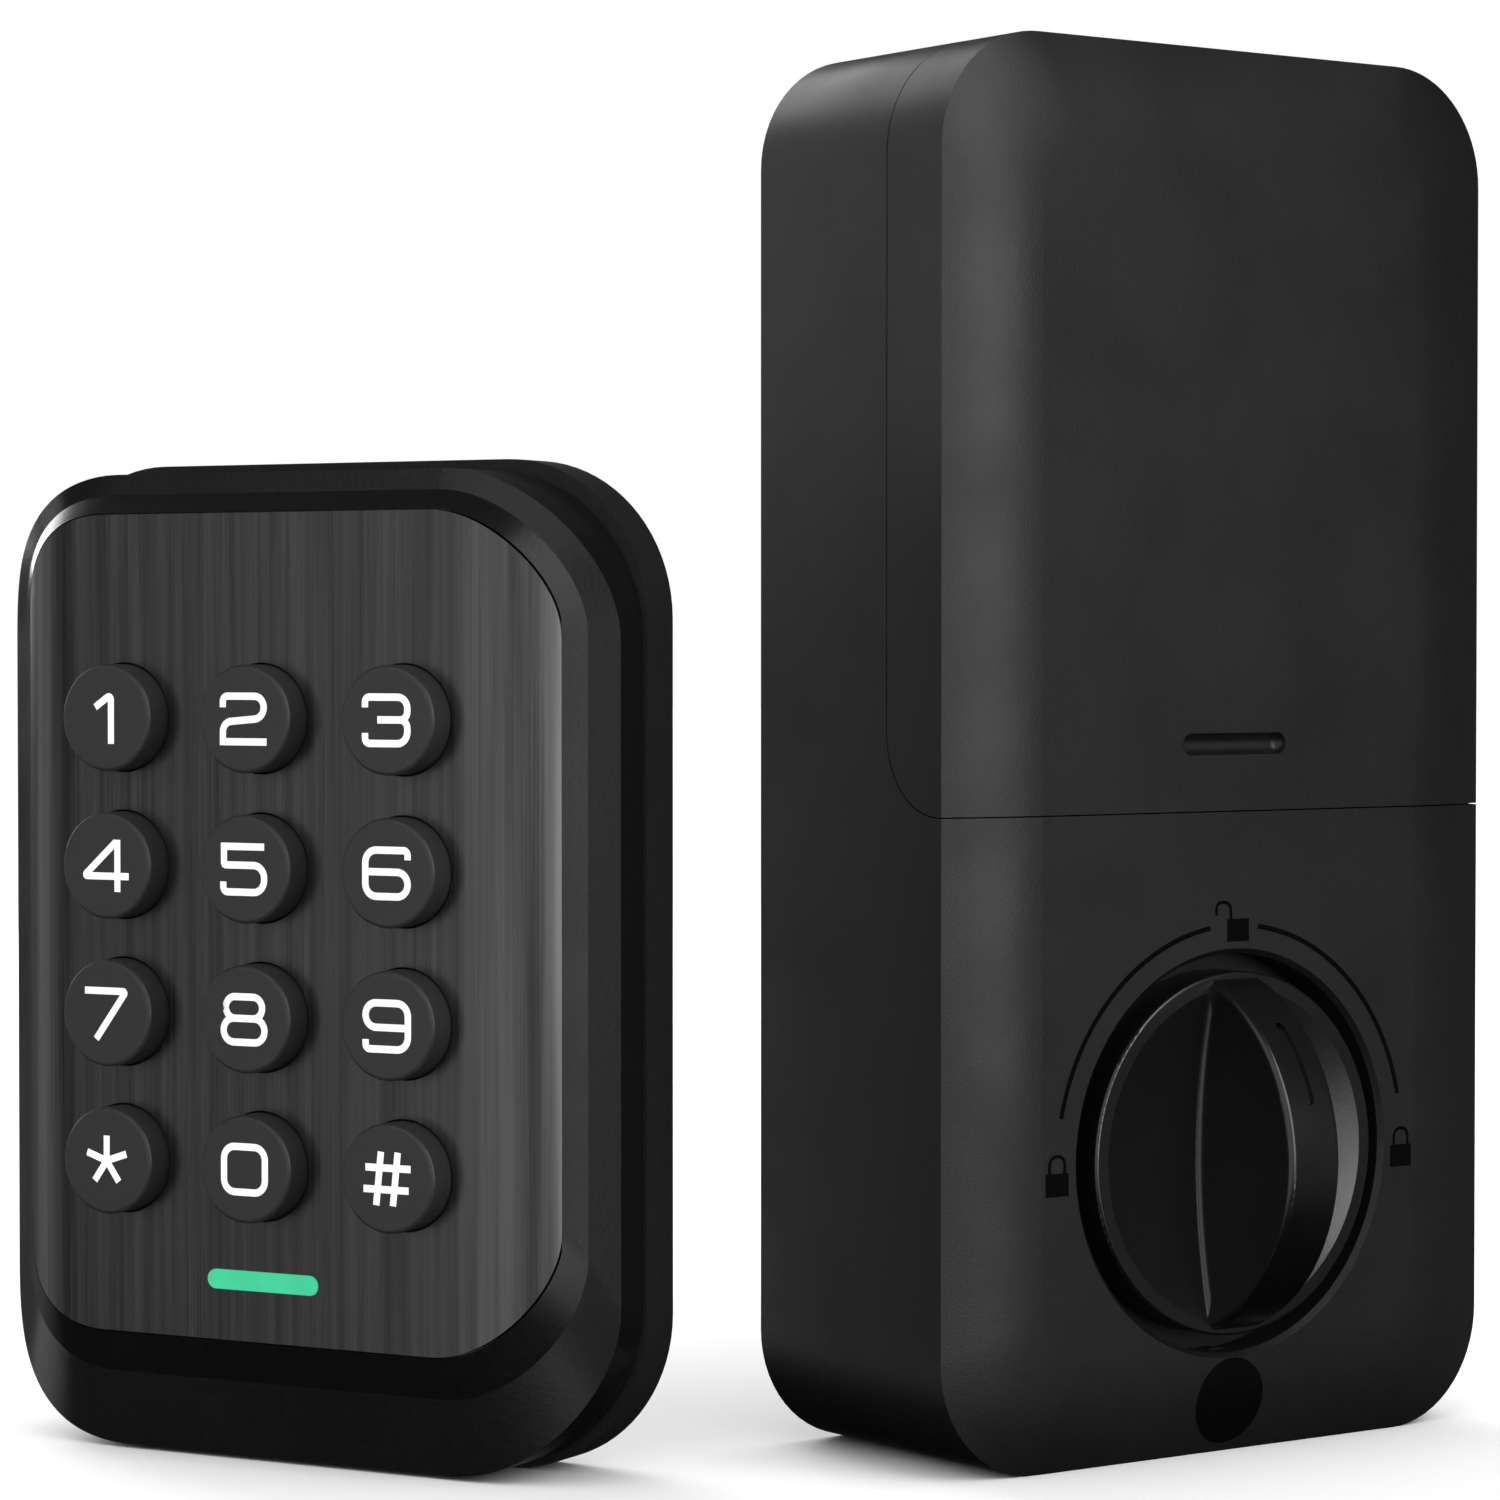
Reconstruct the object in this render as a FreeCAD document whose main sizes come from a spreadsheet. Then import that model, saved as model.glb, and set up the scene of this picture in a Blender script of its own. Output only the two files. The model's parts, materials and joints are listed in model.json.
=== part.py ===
import FreeCAD, Part
import math
import os
import Sketcher

# Keypad smart lock: the outside keypad and the inside unit with its thumb turn.
#
# Millimetres, +Z up, the front of the pair towards -Y. Every piece is drawn in its
# own unit's frame (x to the right, y from the front face into the unit, z up from
# the unit's lower edge) and takes its place in the pair from the unit's Placement.

os.makedirs("parts", exist_ok=True)
doc = FreeCAD.newDocument("keypad_smart_lock")
V = FreeCAD.Vector

# ---------------------------------------------------------------- driving sizes
ROWS = [
    # how the two units stand beside each other
    ("keypad_x", -53.058), ("keypad_y", -23.476), ("keypad_turn", -28.36),
    ("inside_x", 51.772), ("inside_y", -11.586), ("inside_turn", 35.64),
    # keypad shell
    ("pad_width", 79.2), ("pad_bottom", 0.5), ("pad_top", 108.2), ("pad_corner", 18.4),
    ("pad_depth", 13.4), ("band_a_x", 36.75), ("band_a_y", 7), ("band_b_y", 9),
    ("top_a_z", 105.9), ("top_a_y", 2), ("top_b_y", 3),
    ("low_a_z", 8.9), ("low_a_y", 2.6), ("low_b_y", 4),
    ("cavity_width", 59), ("cavity_low", 13), ("cavity_high", 102), ("front_wall", 3.6),
    # brushed face plate, which rolls back along its two long edges
    ("plate_width", 69.4), ("plate_low", 13.8), ("plate_high", 103.7), ("plate_corner", 13.5),
    ("plate_thick", 1.2), ("flat_half", 25), ("roll_drop", 5),
    # keys
    ("key_pitch_x", 18.2), ("key_pitch_z", 16.16), ("key_mid_z", 57.2), ("key_r", 5.85),
    ("key_out", 3.4), ("key_round", 0.45), ("key_flange_r", 6.4), ("key_hole_r", 6.05),
    ("light_z", 20.4), ("light_width", 14.3), ("light_high", 2.1),
    # keypad internals
    ("membrane_y", 6.25), ("membrane_thick", 0.7), ("board_y", 8), ("board_thick", 1.2),
    ("boss_x", 27.2), ("boss_low", 17), ("boss_high", 98),
    # keypad back plate and weather seal
    ("back_y", 13.4), ("back_depth", 4.8), ("back_floor", 1.8), ("back_inset", 1.5),
    ("seal_width", 79.8), ("seal_top", 109.5), ("seal_corner", 17.3),
    ("seal_y", 14), ("seal_depth", 5.7),
    ("post_pcd", 42), ("post_z", 54), ("post_r", 4), ("post_thread_r", 2.1),
    ("cable_r", 4.5), ("grommet_r", 7), ("pad_screw_x", 32.5), ("pad_screw_low", 11.5),
    ("pad_screw_high", 97.5),
    # inside unit shell
    ("unit_width", 78.4), ("unit_high", 155), ("unit_depth", 32.6), ("unit_corner", 13),
    ("crown", 2.3), ("roll_width", 12), ("seam_z", 71), ("seam_y", 9.6), ("seam_corner", 9),
    ("wall", 2.4), ("seam_gap", 0.15), ("rear_y", 28.8),
    ("low_cavity_y", 4.4), ("low_cavity_high", 68), ("bay_half", 33), ("bay_low", 76),
    ("bay_high", 150), ("bay_y", 24), ("bay_wall", 1.6),
    ("notch_width", 15), ("notch_high", 2.4), ("notch_z", 78.5),
    # thumb turn
    ("knob_z", 33.3), ("recess_r", 22.1), ("recess_y", 2.4), ("disc_r", 20.1),
    ("disc_front", 2.7), ("dish_r", 18.4), ("dish_deep", 2.2), ("knob_round", 0.7),
    ("disc_back", 2.2), ("fin_thick", 7.2), ("fin_half", 19.3),
    ("fin_out", 13), ("spindle_r", 4), ("spindle_y", 0.3), ("run_gap", 0.05), ("bush_r", 6.5),
    ("hub_r", 7), ("hub_back", 32.4),
    # gear train
    ("gear_module", 0.8), ("gear_y", 5.1), ("gear_face", 4), ("big_teeth", 36),
    ("idler_teeth", 24), ("pinion_teeth", 12), ("idler_angle", 32), ("pinion_angle", 70),
    ("axle_r", 1.5), ("bracket_y", 9.4), ("bracket_thick", 1),
    # cells
    ("cell_r", 7.1), ("cell_length", 50.5), ("cell_pitch", 15), ("cell_z", 88.2), ("cell_y", 13.4),
    ("tray_half", 32.4), ("tray_low", 81), ("tray_high", 144), ("tray_front", 7.5),
    # wall side
    ("mount_y", 29), ("mount_thick", 1.6), ("mount_inset", 2.7), ("bolt_pcd", 42),
    ("bolt_hole_r", 2.75), ("tail_hole_r", 9), ("screw_r", 1.5), ("plug_z", 5.8), ("plug_r", 4.8),
    ("top_screw_z", 147),
]

sheet = doc.addObject("Spreadsheet::Sheet", "Sizes")
for row, (alias, number) in enumerate(ROWS, 1):
    sheet.set("A%d" % row, alias)
    sheet.set("B%d" % row, str(number))
    sheet.setAlias("B%d" % row, alias)
doc.recompute()


class Size:
    """A length that carries both its number and the sheet formula behind it."""

    def __init__(self, number, formula=None):
        self.number = float(number)
        self.formula = formula if formula is not None else repr(float(number))

    def joined(self, other, sign):
        other = as_size(other)
        number = {"+": self.number + other.number, "-": self.number - other.number,
                  "*": self.number * other.number}[sign]
        return Size(number, "(%s %s %s)" % (self.formula, sign, other.formula))

    def __add__(self, other):
        return self.joined(other, "+")

    def __sub__(self, other):
        return self.joined(other, "-")

    def __mul__(self, other):
        return self.joined(other, "*")

    def __neg__(self):
        return self * -1


def as_size(value):
    return value if isinstance(value, Size) else Size(value)


class Sizes:
    """The sheet's cells as attributes: S.pad_width and so on."""


S = Sizes()
for alias, number in ROWS:
    setattr(S, alias, Size(number, "Sizes." + alias))


def bind(obj, prop, size):
    obj.setExpression(prop, as_size(size).formula)


def unit_place(x, y, turn):
    return FreeCAD.Placement(V(x.number, y.number, 0), FreeCAD.Rotation(V(0, 0, 1), turn.number))


KEYPAD = unit_place(S.keypad_x, S.keypad_y, S.keypad_turn)
INSIDE = unit_place(S.inside_x, S.inside_y, S.inside_turn)
NODES = []


def finish(obj, label, place, shift=V(0, 0, 0)):
    """Name a finished piece and stand it in its unit."""
    if obj.TypeId == "Part::Cylinder":
        obj = together(obj)
    obj.Label = label
    obj.Placement = place.multiply(FreeCAD.Placement(shift, FreeCAD.Rotation()))
    NODES.append(obj)
    return obj


# ---------------------------------------------------------------- sketch helpers
# the way a sketch's offset runs along each body plane's normal
PLANES = {"XZ_Plane": -1, "XY_Plane": 1, "YZ_Plane": 1}


def plane_sketch(body, plane, offset=0):
    """A sketch on one of the body's own planes, moved along that plane's normal."""
    sketch = body.newObject("Sketcher::SketchObject", "Sketch")
    origin_plane = [f for f in body.Origin.OriginFeatures if f.Role == plane][0]
    sketch.AttachmentSupport = (origin_plane, [""])
    sketch.MapMode = "FlatFace"
    bind(sketch, "AttachmentOffset.Base.z", as_size(offset) * PLANES[plane])
    return sketch


def pin_point(sketch, edge, end, x, y):
    """Hold one end of an edge at (x, y) from the sketch's origin."""
    for kind, size in (("DistanceX", x), ("DistanceY", y)):
        size = as_size(size)
        index = sketch.addConstraint(Sketcher.Constraint(kind, -1, 1, edge, end, size.number))
        if abs(size.number) > 1e-9:
            sketch.setExpression("Constraints[%d]" % index, size.formula)


def profile(sketch, points, bulges=None):
    """A closed outline through points; bulges maps an edge to its arc (radius, side)."""
    bulges = bulges or {}
    flat = [(as_size(x), as_size(y)) for x, y in points]
    edges = []
    for i, (x, y) in enumerate(flat):
        nx, ny = flat[(i + 1) % len(flat)]
        start, end = V(x.number, y.number, 0), V(nx.number, ny.number, 0)
        if i in bulges:
            radius, side = bulges[i]
            half = (end - start) * 0.5
            rise = math.sqrt(max(radius.number ** 2 - half.Length ** 2, 0))
            normal = V(-half.y, half.x, 0).normalize()
            middle = start + half + normal * (rise * side) - normal * (radius.number * side)
            edges.append(Part.Arc(start, middle, end))
        else:
            edges.append(Part.LineSegment(start, end))
    first = sketch.addGeometry(edges, False)[0]
    for i, (x, y) in enumerate(flat):
        turned = i in bulges and sketch_start_moved(sketch, first + i, x, y)
        end = 2 if turned else 1
        pin_point(sketch, first + i, end, x, y)
        nx, ny = flat[(i + 1) % len(flat)]
        if i in bulges:
            pin_point(sketch, first + i, 3 - end, nx, ny)
            index = sketch.addConstraint(Sketcher.Constraint("Radius", first + i, bulges[i][0].number))
            sketch.setExpression("Constraints[%d]" % index, bulges[i][0].formula)
        elif (i + 1) % len(flat) in bulges:
            pin_point(sketch, first + i, 2, nx, ny)
        else:
            nxt = first + (i + 1) % len(flat)
            sketch.addConstraint(Sketcher.Constraint("Coincident", first + i, 2, nxt, 1))
    return sketch


def sketch_start_moved(sketch, edge, x, y):
    """True when an arc was stored the other way round from how it was drawn."""
    return (sketch.getPoint(edge, 1) - V(x.number, y.number, 0)).Length > 1e-6


def rounded(sketch, x, z, width, height, radius):
    """A rounded rectangle centred on (x, z)."""
    width, height, radius = as_size(width), as_size(height), as_size(radius)
    x, z = as_size(x), as_size(z)
    left, right = x.number - width.number / 2, x.number + width.number / 2
    low, high = z.number - height.number / 2, z.number + height.number / 2
    r = radius.number

    def line(ax, ay, bx, by):
        return Part.LineSegment(V(ax, ay, 0), V(bx, by, 0))

    def corner(cx, cy, start):
        circle = Part.Circle(V(cx, cy, 0), V(0, 0, 1), r)
        return Part.ArcOfCircle(circle, math.radians(start), math.radians(start + 90))

    first = sketch.addGeometry([
        line(left + r, low, right - r, low), corner(right - r, low + r, 270),
        line(right, low + r, right, high - r), corner(right - r, high - r, 0),
        line(right - r, high, left + r, high), corner(left + r, high - r, 90),
        line(left, high - r, left, low + r), corner(left + r, low + r, 180)], False)[0]
    rules = [Sketcher.Constraint("Horizontal", first), Sketcher.Constraint("Vertical", first + 2),
             Sketcher.Constraint("Horizontal", first + 4), Sketcher.Constraint("Vertical", first + 6)]
    for i in range(0, 8, 2):
        rules.append(Sketcher.Constraint("Tangent", first + i, 2, first + i + 1, 1))
        rules.append(Sketcher.Constraint("Tangent", first + i + 1, 2, first + (i + 2) % 8, 1))
    rules += [Sketcher.Constraint("Equal", first + 1, first + i) for i in (3, 5, 7)]
    sketch.addConstraint(rules)
    driven = [
        (Sketcher.Constraint("Radius", first + 1, r), radius),
        (Sketcher.Constraint("DistanceX", first + 6, 1, first + 2, 1, width.number), width),
        (Sketcher.Constraint("DistanceY", first, 1, first + 4, 1, height.number), height),
        (Sketcher.Constraint("DistanceX", -1, 1, first + 2, 1, right), x + width * 0.5),
        (Sketcher.Constraint("DistanceY", -1, 1, first + 4, 1, high), z + height * 0.5)]
    for rule, size in driven:
        index = sketch.addConstraint(rule)
        sketch.setExpression("Constraints[%d]" % index, size.formula)
    return sketch


def circles(sketch, centres, radius):
    """Equal circles at the given centres."""
    radius = as_size(radius)
    for x, z in centres:
        x, z = as_size(x), as_size(z)
        circle = Part.Circle(V(x.number, z.number, 0), V(0, 0, 1), radius.number)
        edge = sketch.addGeometry(circle, False)
        index = sketch.addConstraint(Sketcher.Constraint("Radius", edge, radius.number))
        sketch.setExpression("Constraints[%d]" % index, radius.formula)
        pin_point(sketch, edge, 3, x, z)
    return sketch


def new_body():
    return doc.addObject("PartDesign::Body", "Body")


def pad(body, sketch, length, back=True):
    """Pad a front sketch into the unit (back) or towards the viewer."""
    feature = body.newObject("PartDesign::Pad", "Pad")
    feature.Profile = sketch
    feature.Reversed = back
    bind(feature, "Length", length)
    return feature


def pocket(body, sketch, length, back=True):
    """Cut a front sketch into the unit (back) or towards the viewer."""
    feature = body.newObject("PartDesign::Pocket", "Pocket")
    feature.Profile = sketch
    feature.Reversed = not back
    bind(feature, "Length", length)
    doc.recompute()
    return feature


def front_pad(body, y, depth, shape, *sizes):
    """Pad shape(*sizes), drawn on the front plane at depth y, into the unit."""
    sketch = shape(plane_sketch(body, "XZ_Plane", y), *sizes)
    return pad(body, sketch, depth)


def front_pocket(body, y, depth, shape, *sizes):
    """Cut shape(*sizes), drawn on the front plane at depth y, into the unit."""
    sketch = shape(plane_sketch(body, "XZ_Plane", y), *sizes)
    before = body.Shape.Volume if body.Tip else 0
    feature = pocket(body, sketch, depth)
    if feature.Shape.Volume >= before - 1e-6:
        raise RuntimeError("a pocket removed nothing from " + body.Label)
    return feature


def plate(y, depth, x, z, width, height, radius):
    """A body that starts as a rounded plate."""
    body = new_body()
    front_pad(body, y, depth, rounded, x, z, width, height, radius)
    doc.recompute()
    return body


# ---------------------------------------------------------------- primitive helpers
def rod(radius, x, y, z, length):
    """A cylinder that starts at depth y and runs into the unit."""
    obj = doc.addObject("Part::Cylinder", "Rod")
    obj.Placement = FreeCAD.Placement(V(0, 0, 0), FreeCAD.Rotation(V(1, 0, 0), -90))
    bind(obj, "Radius", radius)
    bind(obj, "Height", length)
    for axis, size in zip("xyz", (x, y, z)):
        bind(obj, "Placement.Base." + axis, size)
    return obj


def block(x, y, z, width, depth, height):
    """A box centred on x and z that starts at depth y."""
    obj = doc.addObject("Part::Box", "Block")
    width, depth, height = as_size(width), as_size(depth), as_size(height)
    bind(obj, "Length", width)
    bind(obj, "Width", depth)
    bind(obj, "Height", height)
    bind(obj, "Placement.Base.x", as_size(x) - width * 0.5)
    bind(obj, "Placement.Base.y", y)
    bind(obj, "Placement.Base.z", as_size(z) - height * 0.5)
    return obj


def fuse(*pieces):
    obj = doc.addObject("Part::MultiFuse", "Fuse")
    obj.Shapes = list(pieces)
    return obj


def together(*pieces):
    """Several separate solids of one kind kept as one piece."""
    obj = doc.addObject("Part::Compound", "Group")
    obj.Links = list(pieces)
    return obj


def cut(base, *tools):
    obj = doc.addObject("Part::Cut", "Cut")
    obj.Base = base
    obj.Tool = tools[0] if len(tools) == 1 else fuse(*tools)
    return obj


def common(first, second):
    obj = doc.addObject("Part::Common", "Common")
    obj.Base = first
    obj.Tool = second
    return obj


def screw(radius, head_r, x, head_y, z, head, length, towards=-1):
    """A pan-head screw; towards is -1 when its tip points at the viewer."""
    if towards < 0:
        shank_y = as_size(head_y) - length
    else:
        shank_y = as_size(head_y) + head
    return fuse(rod(head_r, x, head_y, z, head), rod(radius, x, shank_y, z, length))


# ---------------------------------------------------------------- keypad
KEY_NAMES = ["1", "2", "3", "4", "5", "6", "7", "8", "9", "star", "0", "hash"]
KEYS = []
for index, name in enumerate(KEY_NAMES):
    column, line = index % 3 - 1, 1.5 - index // 3
    KEYS.append((name, S.key_pitch_x * column, S.key_mid_z + S.key_pitch_z * line))
KEY_CENTRES = [(x, z) for name, x, z in KEYS]
ROLL_R = Size(11.909, "(({0} * {0} + {1} * {1}) / (2 * {1}))".format(
    "(Sizes.plate_width / 2 - Sizes.flat_half)", "Sizes.roll_drop"))
BOARD_BOSSES = [(S.boss_x * side, z) for side in (-1, 1) for z in (S.boss_low, S.boss_high)]
PAD_SCREWS = [(S.pad_screw_x * side, z) for side in (-1, 1)
              for z in (S.pad_screw_low, S.pad_screw_high)]
POSTS = [(S.post_pcd * -0.5, S.post_z), (S.post_pcd * 0.5, S.post_z)]


def mid(low, high):
    return (low + high) * 0.5


def rolled_slab(front, back, low, high):
    """The plate's rolled section, from depth front to depth back, over a height."""
    half = S.plate_width * 0.5
    flat = S.flat_half
    body = new_body()
    points = [(-half, S.roll_drop + front), (-flat, front), (flat, front),
              (half, S.roll_drop + front), (half, S.roll_drop + back), (flat, back),
              (-flat, back), (-half, S.roll_drop + back)]
    bulges = {0: (ROLL_R, 1), 2: (ROLL_R, 1), 4: (ROLL_R, -1), 6: (ROLL_R, -1)}
    sketch = profile(plane_sketch(body, "XY_Plane", low), points, bulges)
    feature = body.newObject("PartDesign::Pad", "Pad")
    feature.Profile = sketch
    bind(feature, "Length", high - low)
    return body


def roll_depth(x):
    """Depth of the rolled face at x."""
    past_flat = max(abs(x) - S.flat_half.number, 0)
    return ROLL_R.number - math.sqrt(ROLL_R.number ** 2 - past_flat ** 2)


def band_ring(half, low, high, radius, drops, rolled=True):
    """An outline in eight edges whose points lie a drop behind the rolled face.

    drops holds the drop at both sides, at the top and at the bottom; a corner blends them.
    """
    half, low, high, radius = half.number, low.number, high.number, radius.number
    side, top, bottom = (as_size(drop).number for drop in drops)
    plate_r = S.plate_corner.number
    centre, plate_centre = half - radius, S.plate_width.number / 2 - plate_r
    quarter = math.pi / 2
    parts = [step / 12 for step in range(13)]

    def corner(sign, turn, z, first, last):
        points = []
        for part in parts:
            across, up = math.cos(turn + quarter * part), math.sin(turn + quarter * part)
            y = first + (last - first) * part * part * (3 - 2 * part)
            if rolled:
                y += roll_depth(sign * plate_centre + plate_r * across)
            points.append(V(sign * centre + radius * across, y, z + radius * up))
        curve = Part.BSplineCurve()
        curve.interpolate(Points=points, Parameters=parts)
        return curve.toShape(), points[0], points[-1]

    corners = [corner(1, 0, high - radius, side, top),
               corner(-1, quarter, high - radius, top, side),
               corner(-1, 2 * quarter, low + radius, side, bottom),
               corner(1, 3 * quarter, low + radius, bottom, side)]
    edges = []
    for index, (bend, start, end) in enumerate(corners):
        edges += [bend, Part.makeLine(end, corners[(index + 1) % 4][1])]
    return Part.Wire(edges)


def keypad_bands():
    """The housing's rim: two bevel bands that wrap the face plate, and the side wall."""
    plate_half, pad_half = S.plate_width * 0.5, S.pad_width * 0.5
    inside = plate_half - S.plate_corner
    inset, sunk, depth = 1.2, S.front_wall + 4.4, S.pad_depth
    rings = [
        band_ring(plate_half - inset, S.plate_low + inset, S.plate_high - inset,
                  S.plate_corner - inset, (sunk, sunk, sunk), rolled=False),
        band_ring(plate_half, S.plate_low, S.plate_high, S.plate_corner, (0, 0, 0)),
        band_ring(S.band_a_x, S.low_a_z, S.top_a_z, S.band_a_x - inside,
                  (S.band_a_y - S.roll_drop, S.top_a_y, S.low_a_y)),
        band_ring(pad_half, S.pad_bottom, S.pad_top, pad_half - inside,
                  (S.band_b_y - S.roll_drop, S.top_b_y, S.low_b_y)),
        band_ring(pad_half, S.pad_bottom, S.pad_top, pad_half - inside, (depth, depth, depth),
                  rolled=False)]
    obj = doc.addObject("Part::Feature", "Bands")
    obj.Shape = Part.makeLoft(rings, True, True)
    return obj


def make_keypad_housing():
    outline = plate(-4, 20, 0, mid(S.plate_low, S.plate_high), S.plate_width,
                    S.plate_high - S.plate_low, S.plate_corner)
    wall = common(rolled_slab(S.plate_thick + 0.05, S.front_wall, S.plate_low, S.plate_high),
                  outline)
    seat = common(rolled_slab(Size(-3), S.plate_thick + 0.05, S.plate_low - 1, S.plate_high + 1),
                  plate(-4, 12, 0, mid(S.plate_low, S.plate_high), S.plate_width + 0.3,
                        S.plate_high - S.plate_low + 0.3, S.plate_corner))
    cavity = plate(S.front_wall, S.pad_depth, 0, mid(S.cavity_low, S.cavity_high), S.cavity_width,
                   S.cavity_high - S.cavity_low, 5)
    holes = [rod(S.key_hole_r, x, -1, z, 6) for x, z in KEY_CENTRES]
    slot = plate(-1, 6, 0, S.light_z, S.light_width + 0.3, S.light_high + 0.3,
                 S.light_high * 0.5 + 0.14)
    pilots = [rod(1.55, x, 7, z, 8) for x, z in PAD_SCREWS]
    shell = cut(fuse(keypad_bands(), wall), seat, cavity, slot, *(holes + pilots))
    bosses = [rod(2, x, S.front_wall - 0.4, z, S.board_y - S.front_wall + 0.4)
              for x, z in BOARD_BOSSES]
    tapped = [rod(0.95, x, S.board_y - 3.5, z, 4) for x, z in BOARD_BOSSES]
    finish(cut(fuse(shell, *bosses), *tapped), "keypad_housing", KEYPAD)


def make_face_plate():
    sheet_metal = rolled_slab(Size(0), S.plate_thick, S.plate_low, S.plate_high)
    outline = plate(-4, 14, 0, mid(S.plate_low, S.plate_high), S.plate_width,
                    S.plate_high - S.plate_low, S.plate_corner)
    holes = [rod(S.key_hole_r, x, -1, z, 6) for x, z in KEY_CENTRES]
    slot = plate(-1, 6, 0, S.light_z, S.light_width + 0.1, S.light_high + 0.1,
                 S.light_high * 0.5 + 0.04)
    finish(cut(common(sheet_metal, outline), slot, *holes), "keypad_face_plate", KEYPAD)


def make_status_light():
    body = plate(-0.1, S.board_y - 0.1, 0, S.light_z, S.light_width, S.light_high,
                 S.light_high * 0.5 - 0.01)
    finish(body, "keypad_status_light", KEYPAD)


def make_membrane():
    body = plate(S.membrane_y, S.membrane_thick, 0, mid(S.plate_low, S.plate_high), 49.8,
                 80, 4)
    slot_size = (S.light_width + 1, S.light_high + 1, S.light_high * 0.5 + 0.4)
    front_pocket(body, S.membrane_y - 1, 3, rounded, 0, S.light_z, *slot_size)
    finish(body, "keypad_membrane", KEYPAD)


def make_keypad_board():
    body = plate(S.board_y, S.board_thick, 0, mid(S.cavity_low, S.cavity_high),
                 S.cavity_width - 1, S.cavity_high - S.cavity_low - 1, 4)
    front_pocket(body, S.board_y - 1, 4, circles, BOARD_BOSSES, 1.1)
    finish(body, "keypad_circuit_board", KEYPAD)


def make_dome_switches():
    top = S.membrane_y + S.membrane_thick
    domes = [rod(2.5, x, top, z, S.board_y - top) for x, z in KEY_CENTRES]
    finish(together(*domes), "keypad_dome_switches", KEYPAD)


def make_keypad_board_parts():
    back = S.board_y + S.board_thick
    finish(cut(rod(6, -14, back, 84, 3.2), rod(1, -14, back + 2, 84, 3)), "keypad_buzzer", KEYPAD)
    finish(cut(block(0, back, 36, 13, 4, 5.5), block(0, back + 1.5, 36, 11, 4, 3.5)),
           "keypad_connector", KEYPAD)
    screws = [screw(0.9, 1.9, x, back, z, 1.1, 3.6) for x, z in BOARD_BOSSES]
    finish(together(*screws), "keypad_board_screws", KEYPAD)


def make_back_plate():
    width = S.pad_width - S.back_inset * 2
    height = S.pad_top - S.pad_bottom - S.back_inset * 2
    centre = mid(S.pad_bottom, S.pad_top)
    body = plate(S.back_y, S.back_depth, 0, centre, width, height, S.pad_corner - S.back_inset)
    front_pocket(body, S.back_y - 1, S.back_depth - S.back_floor + 1, rounded, 0, centre,
                 width - 4, height - 4, S.pad_corner - S.back_inset - 2)
    floor_y = S.back_y + S.back_depth - S.back_floor
    bosses = [rod(3, x, S.back_y, z, floor_y - S.back_y + 0.2) for x, z in PAD_SCREWS]
    holes = [rod(1.65, x, S.back_y - 1, z, 9) for x, z in PAD_SCREWS]
    heads = [rod(3, x, S.back_y + S.back_depth - 1.3, z, 3) for x, z in PAD_SCREWS]
    posts = [rod(S.post_r + 0.1, x, S.back_y, z, 9) for x, z in POSTS]
    cable = rod(S.grommet_r + 0.05, 0, S.back_y, S.post_z, 9)
    finish(cut(fuse(body, *bosses), cable, *(holes + heads + posts)), "keypad_back_plate", KEYPAD)


def make_gasket():
    height = S.pad_top - S.pad_bottom - S.back_inset * 2
    centre = mid(S.pad_bottom, S.pad_top)
    body = plate(S.seal_y, S.seal_depth, 0, S.seal_top * 0.5, S.seal_width, S.seal_top,
                 S.seal_corner)
    depth = S.back_y + S.back_depth - S.seal_y + 0.05
    front_pocket(body, S.seal_y - 1, depth + 1, rounded, 0, centre,
                 S.pad_width - S.back_inset * 2 + 0.2, height + 0.2,
                 S.pad_corner - S.back_inset + 0.1)
    front_pocket(body, S.seal_y - 1, 9, circles, POSTS, S.post_r + 0.1)
    front_pocket(body, S.seal_y - 1, 9, circles, [(0, S.post_z)], S.grommet_r + 0.05)
    front_pocket(body, S.seal_y - 1, 9, circles, PAD_SCREWS, 3.2)
    finish(body, "keypad_gasket", KEYPAD)


def make_keypad_fixings():
    floor_y = S.back_y + S.back_depth - S.back_floor
    end = S.seal_y + S.seal_depth
    posts = []
    for x, z in POSTS:
        barrel = fuse(rod(S.post_r + 1.6, x, floor_y - 1.5, z, 1.5),
                      rod(S.post_r, x, floor_y - 1, z, end - floor_y + 1))
        posts.append(cut(barrel, rod(S.post_thread_r, x, floor_y - 2, z, 9)))
    finish(together(*posts), "keypad_mounting_posts", KEYPAD)
    ring = fuse(rod(S.grommet_r, 0, floor_y, S.post_z, end - floor_y),
                rod(S.grommet_r + 1.2, 0, floor_y - 1, S.post_z, 1))
    finish(cut(ring, rod(S.cable_r, 0, floor_y - 2, S.post_z, 9)), "keypad_cable_grommet", KEYPAD)
    head_y = S.back_y + S.back_depth - 1.3
    screws = [screw(S.screw_r, 2.8, x, head_y, z, 1.2, 9) for x, z in PAD_SCREWS]
    finish(together(*screws), "keypad_back_plate_screws", KEYPAD)


def make_key(name, x, z):
    """One button: a bevelled cap, a retaining flange and a short stem."""
    body = new_body()
    flange_y = S.front_wall + 0.05
    points = [(0, -S.key_out), (S.key_r - S.key_round, -S.key_out),
              (S.key_r, -S.key_out + S.key_round), (S.key_r, flange_y), (S.key_flange_r, flange_y),
              (S.key_flange_r, flange_y + 0.9), (0, flange_y + 0.9)]
    sketch = profile(plane_sketch(body, "XY_Plane"), points, {1: (S.key_round, 1)})
    turned = body.newObject("PartDesign::Revolution", "Turned")
    turned.Profile = sketch
    turned.ReferenceAxis = (sketch, ["V_Axis"])
    turned.Angle = 360
    finish(body, "key_" + name, KEYPAD, V(x.number, 0, z.number))


# ---------------------------------------------------------------- inside unit
KNOB = (Size(0), S.knob_z)


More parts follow.
